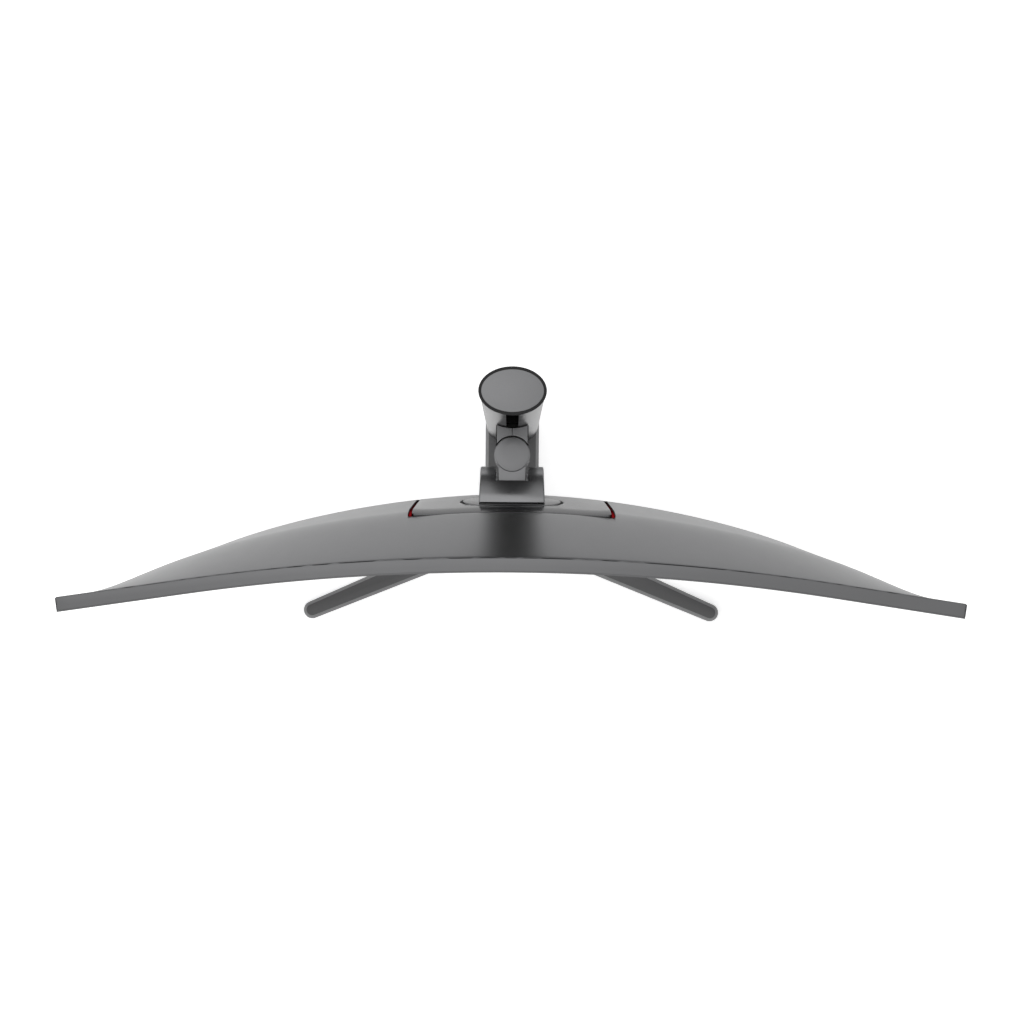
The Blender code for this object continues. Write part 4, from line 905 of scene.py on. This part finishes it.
# ---- stand ----
def column():
    """The oval column, painted near-black inside as shade, with its slot, the dark rim on its top and the lid in the
    rim.
    """
    centre, half = (0.0, COLUMN_Y), (COLUMN_X, COLUMN_DEPTH)
    low, high, edge = COLUMN_LOW_Z, COLUMN_HIGH_Z, 0.0004
    profile = [(-edge, low), (0.0, low + edge)]
    profile += [(0.0, low + 0.02 * k) for k in range(1, 19)]
    profile += [(0.0, high - edge), (-edge, high), (-COLUMN_WALL, high), (-COLUMN_WALL, low)]
    tube = turned("column_sleeve", profile, centre, half, 160, ring=True)
    mouth = rectangle((-SLOT_HALF_X, SLOT_LOW_Z), (SLOT_HALF_X, SLOT_HIGH_Z), 0.0025, 6)
    tube = boolean(tube, along_y("slot", mouth, 0.070, COLUMN_Y - 0.010))
    piece("column_sleeve", tube, "stand", "column", ["column_tube"], 35, extra=("black_and_painted_shade",))
    # Painted shade: faces inside the wall are painted near-black.
    skin_depth = 0.0012
    for face in tube.polygons:
        x, y = face.center.x, face.center.y - COLUMN_Y
        if (x / (COLUMN_X - skin_depth)) ** 2 + (y / (COLUMN_DEPTH - skin_depth)) ** 2 < 1:
            face.material_index = 1
    low = COLUMN_HIGH_Z + GAP
    lip = [(0.001 - d, z) for d, z in levels(low, STAND_TOP_Z, 0.0003, 0.0003)]
    lip += [(-0.0014, z) for z in (STAND_TOP_Z - 0.0002, low)]
    ring = turned("column_trim", lip, centre, half, 160, ring=True)
    piece("column_trim", ring, "stand", "rim", ["column_rim"], 40)
    lid = [(-0.0016 - d, z) for d, z in levels(low + 0.001, STAND_TOP_Z - 0.0004, 0.0, 0.0002)]
    piece("column_lid", turned("column_lid", lid, centre, half, 160), "stand", "cap", ["column_cap"], 40)


def base_outline():
    """The whole base from above: two legs, their fork, and the round block under the column."""
    tip = Vector((TIP_X, TIP_Y))
    front, rear = Vector((-FRONT_SLOPE, -1.0)).normalized(), Vector((REAR_SLOPE, 1.0)).normalized()
    tip_front, tip_rear = tip + TIP_RADIUS * front, tip + TIP_RADIUS * rear
    fork = Vector((0.0, tip_front.y + FRONT_SLOPE * tip_front.x))
    shoulder = Vector((BLOCK_HALF_X, tip_rear.y + REAR_SLOPE * (tip_rear.x - BLOCK_HALF_X)))
    start, end = math.atan2(front.y, front.x), math.atan2(rear.y, rear.x)
    tip_angles = [start + (end - start) * k / 20 for k in range(21)]
    block_angles = [math.pi / 2 * k / 24 for k in range(25)]
    right = [tip + TIP_RADIUS * Vector((math.cos(a), math.sin(a))) for a in tip_angles]
    block = [Vector((BLOCK_HALF_X * math.cos(a), COLUMN_Y + BLOCK_REAR * math.sin(a))) for a in block_angles]
    half = [fork, *right, shoulder, *block]
    left = [Vector((-p.x, p.y)) for p in reversed(half[1:-1])]
    return half + left


def base():
    """The casting with a painted highlight, a lighter grey, on the chamfer round its top, bored for the thumb screw,
    on four rubber feet.
    """
    low, high = BASE_LOW_Z, BASE_TOP_Z
    steps = [
        (BASE_SOFTNESS, low), (0.0, low + BASE_SOFTNESS), (0.0, high - BASE_CHAMFER), (0.00015, high - 0.0031),
        (0.0033, high - 0.00015), (BASE_CHAMFER + 0.0002, high),
    ]
    mesh = slab("base_casting", base_outline(), steps)
    mesh = boolean(mesh, turned("recess", [(0.0120, 0.0), (0.0120, 0.0090)], (0.0, COLUMN_Y), count=64))
    mesh = boolean(mesh, turned("hole", [(0.0043, 0.008), (0.0043, 0.02)], (0.0, COLUMN_Y), count=48))
    piece("base_casting", mesh, "stand", "base", ["base_block", "left_leg", "right_leg"], 25, extra=("chamfer",))
    # Painted highlight: the sloped faces of the top chamfer get the lighter grey.
    for face in mesh.polygons:
        if 0.3 < face.normal.z < 0.95 and face.center.z > high - BASE_CHAMFER - 0.0001:
            face.material_index = 1
    pads = {"front_left": (-TIP_X, TIP_Y, 0.0075), "front_right": (TIP_X, TIP_Y, 0.0075),
            "rear_left": (-0.019, COLUMN_Y + 0.0075, 0.0050), "rear_right": (0.019, COLUMN_Y + 0.0075, 0.0050)}
    for name, (x, y, radius) in pads.items():
        steps = [(radius - d, z) for d, z in levels(0.0, 0.0020, 0.0005, 0.0)]
        grooved = turned(f"foot_{name}", steps, (x, y), count=40)
        piece(f"foot_{name}", grooved, "stand", "rubber", [f"foot_pad_{name}"], 40)


# ---- sockets and joystick ----
def port_bay():
    """The walls of the bay between the cover and the socket bracket, and what shows inside the sockets."""
    (x0, y0), (x1, y1) = BAY_LOW, BAY_HIGH
    outer = rectangle((x0 - 0.0010, y0 - 0.0010), (x1 + 0.0010, y1 + 0.0010), 0.0020, 4)
    inner = rectangle((x0 + 0.0003, y0 + 0.0003), (x1 - 0.0003, y1 - 0.0003), 0.0012, 4)
    section = ((outer, BAY_LOW_Z), (outer, BAY_TOP_Z), (inner, BAY_TOP_Z), (inner, BAY_LOW_Z))
    rows = [[Vector((*p, z)) for p in loop] for loop, z in section]
    piece("port_bay_wall", skin("port_bay_wall", rows, ring=True), "display", "black", (), 35)
    for name, x, width in (("left", -0.1290, 0.0112), ("middle", -0.1085, 0.0112), ("right", -0.0885, 0.0122)):
        tongue = cuboid("tongue", (x - width / 2, -0.0261, 0.1625), (x + width / 2, -0.0249, 0.1692))
        piece(f"socket_tongue_{name}", tongue, "display", "black", (), 35, bevel=0.0002)
        count, size = 9, Matrix.Diagonal((0.0004, 0.0004, 0.0052, 1.0))
        bm = bmesh.new()
        for k in range(count):
            middle = x + (k - (count - 1) / 2) * width / (count + 0.5)
            bmesh.ops.create_cube(bm, size=1.0, matrix=Matrix.Translation((middle, -0.02635, 0.1656)) @ size)
        piece(f"socket_contacts_{name}", mesh_of(bm, f"socket_contacts_{name}"), "display", "brass", (), 35)
    for name, x in (("a", -0.1725), ("b", -0.1405), ("c", -0.0678)):
        radius, head_z = 0.0019, 0.15695
        profile = [(radius, head_z + 0.00095), *((radius - d, head_z + drop) for d, drop in quarter(0.0006, 3))]
        head = turned(f"bracket_screw_{name}", profile, (x, -0.0170), count=28)
        head = boolean(head, cuboid("cross", (x - 0.0012, -0.0172, 0.1560), (x + 0.0012, -0.0168, 0.1574)))
        piece(f"bracket_screw_{name}", head, "display", "black_steel", (), 35)


def joystick():
    """The control under the bottom edge: a knob with a neck, a ribbed rim and a dished end."""
    count, ribs, rib_height, rim_radius = 72, 18, 0.00012, 0.0040
    profile = [
        (0.0022, 0.0460), (0.0025, 0.0457), (0.0025, 0.0410), (0.0036, 0.0405), (rim_radius, 0.0401),
        (rim_radius, 0.0396), (0.0037, 0.0390), (0.0030, 0.0386), (0.0022, 0.0388), (0.0010, 0.0391),
    ]
    angles = [math.tau * k / count for k in range(count)]
    rows = []
    for radius, z in profile:
        height = rib_height if radius == rim_radius else 0.0
        reach = [radius - rib_height + height * math.cos(a * ribs) for a in angles]
        rows.append([Vector((r * math.cos(a), KNOB_Y + r * math.sin(a), z)) for r, a in zip(reach, angles)])
    piece("joystick_cap", skin("joystick_cap", rows), "stick_knob", "black", ["joystick_knob"], 35)


def dress_frame():
    """Materials, and softer edges where they show, for the CAD nodes that stay."""
    hinge = ("tilt_bracket", "tilt_pin", "friction_washer_left", "friction_washer_right", "swivel_pin")
    dress("steel", *hinge, bevel=0.0002)
    dress("steel", "port_bracket", "video_socket_left", "video_socket_middle", "video_socket_right")
    dress("steel", "thumb_screw", "thumb_ring", "drum_axle", "backplane", "mount_frame", "column_foot_plate")
    dress("black_steel", "guide_rail", "spring_anchor")
    dress("spring", "spring_strip", "spring_drum")
    dress("black_and_painted_shade", "slider_carriage")
    dress("black", "swivel_bushing", "power_inlet", "audio_jack", "joystick_gimbal", "joystick_stem")
    dress("white", "diffuser_stack", "led_bar")
    dress("clear", "light_guide", "power_led_lens")
    dress("board", "main_board", "power_board", "button_board")


# ---- studio ----
def studio_floor():
    """A pale floor that glows with painted light near the object, a little more to its left, and fades to grey
    further out.
    """
    g = Graph("studio_floor")
    split = g.node("SeparateXYZ", {"Vector": g.where}).outputs
    reach = g.math("MAXIMUM", g.math("ABSOLUTE", split["X"], 0.0), g.math("ABSOLUTE", split["Y"], 0.0))
    near = g.ramp(reach, 0.85, 1.50, 1.0, 0.0)
    floor_tone = g.mix(near, (0.20, 0.20, 0.20, 1.0), (0.92, 0.92, 0.92, 1.0))
    g.finish(floor_tone, 0.9, Emission_Color=(1.0, 1.0, 1.0, 1.0))
    # Painted light: the floor glows, most near the object and towards its left.
    painted_light = g.math("MULTIPLY", g.ramp(near, 0.0, 1.0, 0.03, 0.60), g.ramp(split["X"], -0.8, 0.8, 1.22, 0.78))
    g.tree.links.new(painted_light, g.shader.inputs["Emission Strength"])
    bm = bmesh.new()
    bmesh.ops.create_grid(bm, x_segments=1, y_segments=1, size=6.0)
    floor = bpy.data.objects.new("studio_floor", mesh_of(bm, "studio_floor"))
    floor.data.materials.append(g.made)
    floor.location = (0.0, 0.0, -0.0002)
    bpy.context.scene.collection.objects.link(floor)


def studio_world():
    """A sky that is dark at the horizon and bright overhead, a little brighter on the left."""
    world = bpy.data.worlds.new("studio_world")
    world.use_nodes = True
    tree = world.node_tree
    height = tree.nodes.new("ShaderNodeSeparateXYZ")
    tree.links.new(tree.nodes.new("ShaderNodeTexCoord").outputs["Generated"], height.inputs[0])
    fade = tree.nodes.new("ShaderNodeMapRange")
    for key, value in {"From Min": 0.15, "From Max": 0.78, "To Min": 0.20, "To Max": 0.97}.items():
        fade.inputs[key].default_value = value
    lean = tree.nodes.new("ShaderNodeMath")
    lean.operation = "MULTIPLY_ADD"
    tree.links.new(height.outputs["X"], lean.inputs[0])
    lean.inputs[1].default_value = -0.15
    tree.links.new(height.outputs["Z"], lean.inputs[2])
    tree.links.new(lean.outputs[0], fade.inputs["Value"])
    tree.links.new(fade.outputs["Result"], tree.nodes["Background"].inputs["Strength"])
    tree.nodes["Background"].inputs["Color"].default_value = (1.0, 1.0, 1.0, 1.0)
    bpy.context.scene.world = world


def studio():
    """Floor, sky, three soft lights and the camera."""
    scene = bpy.context.scene
    scene.view_settings.view_transform = "Standard"
    studio_floor()
    studio_world()
    softboxes = [  # name, place, what it faces, width, height, power
        ("left_softbox", (-1.9, 0.25, 0.75), (0.0, 0.0, 0.2), 1.0, 1.6, 2.5),
        ("right_softbox", (1.9, 0.25, 0.75), (0.0, 0.0, 0.2), 1.0, 1.6, 2.0),
        ("overhead_softbox", (-0.35, 0.45, 2.5), (-0.1, 0.3, 0.0), 1.3, 1.5, 3.9),
    ]
    for name, place, target, width, height, power in softboxes:
        light = bpy.data.lights.new(name, "AREA")
        light.shape, light.size, light.size_y, light.energy = "RECTANGLE", width, height, power
        lamp = bpy.data.objects.new(name, light)
        lamp.location = place
        lamp.rotation_euler = (Vector(target) - Vector(place)).to_track_quat("-Z", "Y").to_euler()
        scene.collection.objects.link(lamp)
    lens = bpy.data.cameras.new("camera")
    lens.lens, lens.sensor_width = 50.0, 36.0
    camera = bpy.data.objects.new("camera", lens)
    tilt = Matrix.Rotation(math.radians(1.29), 4, "X")
    roll = Matrix.Rotation(math.radians(0.434), 4, "Z")
    camera.matrix_world = Matrix.Translation((0.0003, -0.0369, 1.667)) @ tilt @ roll
    scene.collection.objects.link(camera)
    scene.camera = camera


studio()
dress_frame()
rear_cover()
centre_panel()
mount_disc()
band()
screen()
hood()
rear_arm()
front_arm()
column()
base()
port_bay()
joystick()
